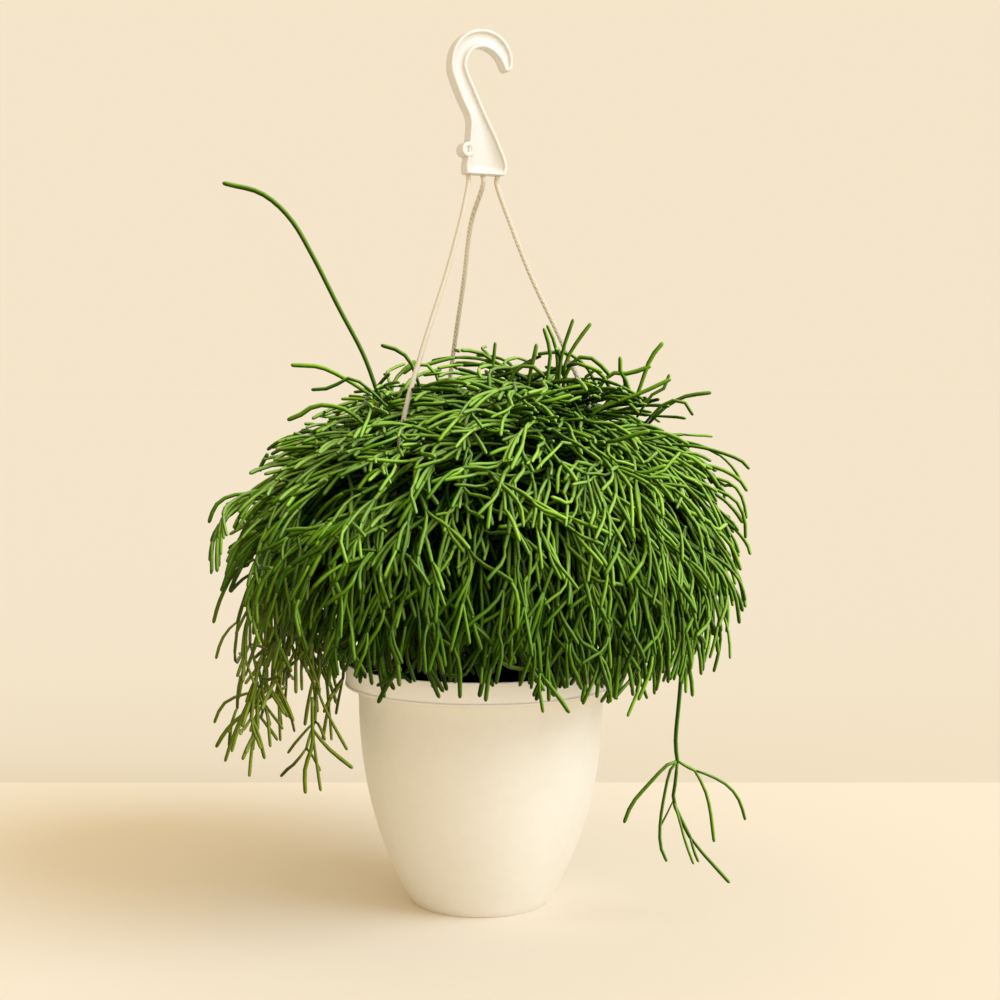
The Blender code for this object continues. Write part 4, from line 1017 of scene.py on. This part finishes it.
# How many loose strands hang from the three bunches at the left, and the azimuth they keep short
# of. The shoot and the trailing stem grow from a bunch each.
STRANDS, STRANDS_END = {5: 28, 6: 30, 7: 10}, math.radians(207)
SHOOT_BUNCH, TRAILER_BUNCH = 6, 11
for index in range(BUNCHES):
    rng = np.random.default_rng(FIRST_SEED + index)
    low = math.radians(FIRST_AZIMUTH + SECTOR * index)
    high = low + math.radians(SECTOR)
    middle = math.degrees((low + high) / 2)
    ring = FOOT_RINGS[index % 2]
    foot = np.array(at_azimuth(middle, ring, soil_height(ring) - ROOTED))
    made = stem_generations(rng, low, high, foot, LEADERS)
    if index in STRANDS:
        made += trailing_generations(rng, low, min(high, STRANDS_END), STRANDS[index])
    if index == SHOOT_BUNCH:
        made.append(drawn(SHOOT, 1.0, 0.15))
    if index == TRAILER_BUNCH:
        made += [drawn(route, thickness, 0.45) for route, thickness in TRAILER]
    for route in SPRIGS:
        azimuth = math.degrees(math.atan2(route[0][1], route[0][0]))
        if (azimuth - FIRST_AZIMUTH) % 360 // SECTOR == index:
            made.append(drawn(route, 0.9 if route[-1][2] > 130 else 0.82, 0.6))
    bunch = bunch_solid(f"bunch_{index + 1:02d}", made, rng, stem_skin)
    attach(bunch, "root")
    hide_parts(f"stems_{index + 1:02d}")

rng = np.random.default_rng(CROWN_SEED)
foot = np.array((0, 0, SOIL_CROWN - ROOTED))
made = stem_generations(rng, 0, 2 * math.pi, foot, CROWN_LEADERS, CROWN_EDGE)
crown = bunch_solid("bunch_crown", made, rng, stem_skin)
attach(crown, "root")
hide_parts("stems_crown")

# The studio: a warm cream floor. Past a faint line behind the pot it is painted in a cream wall's
# tone, with painted shade that darkens it a little towards the line. Soft warm light comes from
# all round, a little dimmer from the left, with a broad, whiter key light from the right and a weak
# fill from the front right.
floor_paint, shader = new_material("painted_floor", "#EEE2D0", 0.9, 1.4)
ground = np.array([(-60, -60, 0), (60, -60, 0), (60, 60, 0), (-60, 60, 0)], float)
floor = bpy.data.objects.new("floor", bpy.data.meshes.new("floor"))
floor.data.from_pydata(ground.tolist(), [], [(0, 1, 2, 3)])
floor.data.materials.append(floor_paint)
bpy.context.scene.collection.objects.link(floor)
place = add_node(floor_paint, "TexCoord").outputs["Object"]
back = add_node(floor_paint, "SeparateXYZ", None, {0: place}).outputs["Y"]
behind = add_node(
    floor_paint, "MapRange", None, {"Value": back, "From Min": 0.267, "From Max": 0.269}
).outputs["Result"]
# Painted shade: past the line the wall's tone is a little darker near the line than further back.
rise = add_node(
    floor_paint, "MapRange", {"interpolation_type": "SMOOTHSTEP"},
    {"Value": back, "From Min": 0.2, "From Max": 1.0},
).outputs["Result"]
wall_tone_and_shade = add_node(
    floor_paint, "Mix", COLOUR_MIX, {0: rise, 6: linear("#E0D5C3"), 7: linear("#E1D8CA")}
)
tone = add_node(
    floor_paint, "Mix", COLOUR_MIX,
    {0: behind, 6: linear("#EEE2D0"), 7: wall_tone_and_shade.outputs[2]},
)
feed(shader, {"Base Color": tone.outputs[2], "Specular IOR Level": 0})

world = bpy.data.worlds.new("studio")
world.use_nodes = True
direction = add_node(world, "TexCoord").outputs["Generated"]
toward = add_node(world, "SeparateXYZ", None, {0: direction})
level = add_node(
    world, "MapRange", None,
    {
        "Value": toward.outputs["X"], "From Min": -1.0, "From Max": 1.0, "To Min": 0.86,
        "To Max": 1.14,
    },
)
ambient = world.node_tree.nodes["Background"]
feed(ambient, {"Color": linear("#F5E4C3"), "Strength": level.outputs["Result"]})
seen = add_node(world, "Background", None, {"Color": linear("#F5E5CA")})
straight = add_node(world, "LightPath").outputs["Is Camera Ray"]
either = add_node(
    world, "MixShader", None, {0: straight, 1: ambient.outputs[0], 2: seen.outputs[0]}
)
feed(world.node_tree.nodes["World Output"], {"Surface": either.outputs[0]})
bpy.context.scene.world = world
bpy.context.scene.view_settings.view_transform = "Standard"

# Energy, breadth in degrees, colour, and the tilt and turn of each light in degrees.
for name, energy, breadth, colour, tilt, turn in (
    ("key", 2.2, 36, (0.62, 0.79, 1.0), 52, 66), ("fill", 0.8, 50, (1, 0.98, 0.97), 86, 34),
):
    light = bpy.data.lights.new(name, "SUN")
    light.energy, light.angle, light.color = energy, math.radians(breadth), colour
    holder = bpy.data.objects.new(name, light)
    bpy.context.scene.collection.objects.link(holder)
    holder.rotation_euler = (math.radians(tilt), 0, math.radians(turn))

camera = bpy.data.objects.new("camera", bpy.data.cameras.new("camera"))
camera.data.lens, camera.data.sensor_width = 60.66, 36
camera.location = (0.0106, -0.925, 0.287)
camera.rotation_euler = (math.pi / 2 - 0.07, 0, 0)
bpy.context.scene.collection.objects.link(camera)
bpy.context.scene.camera = camera
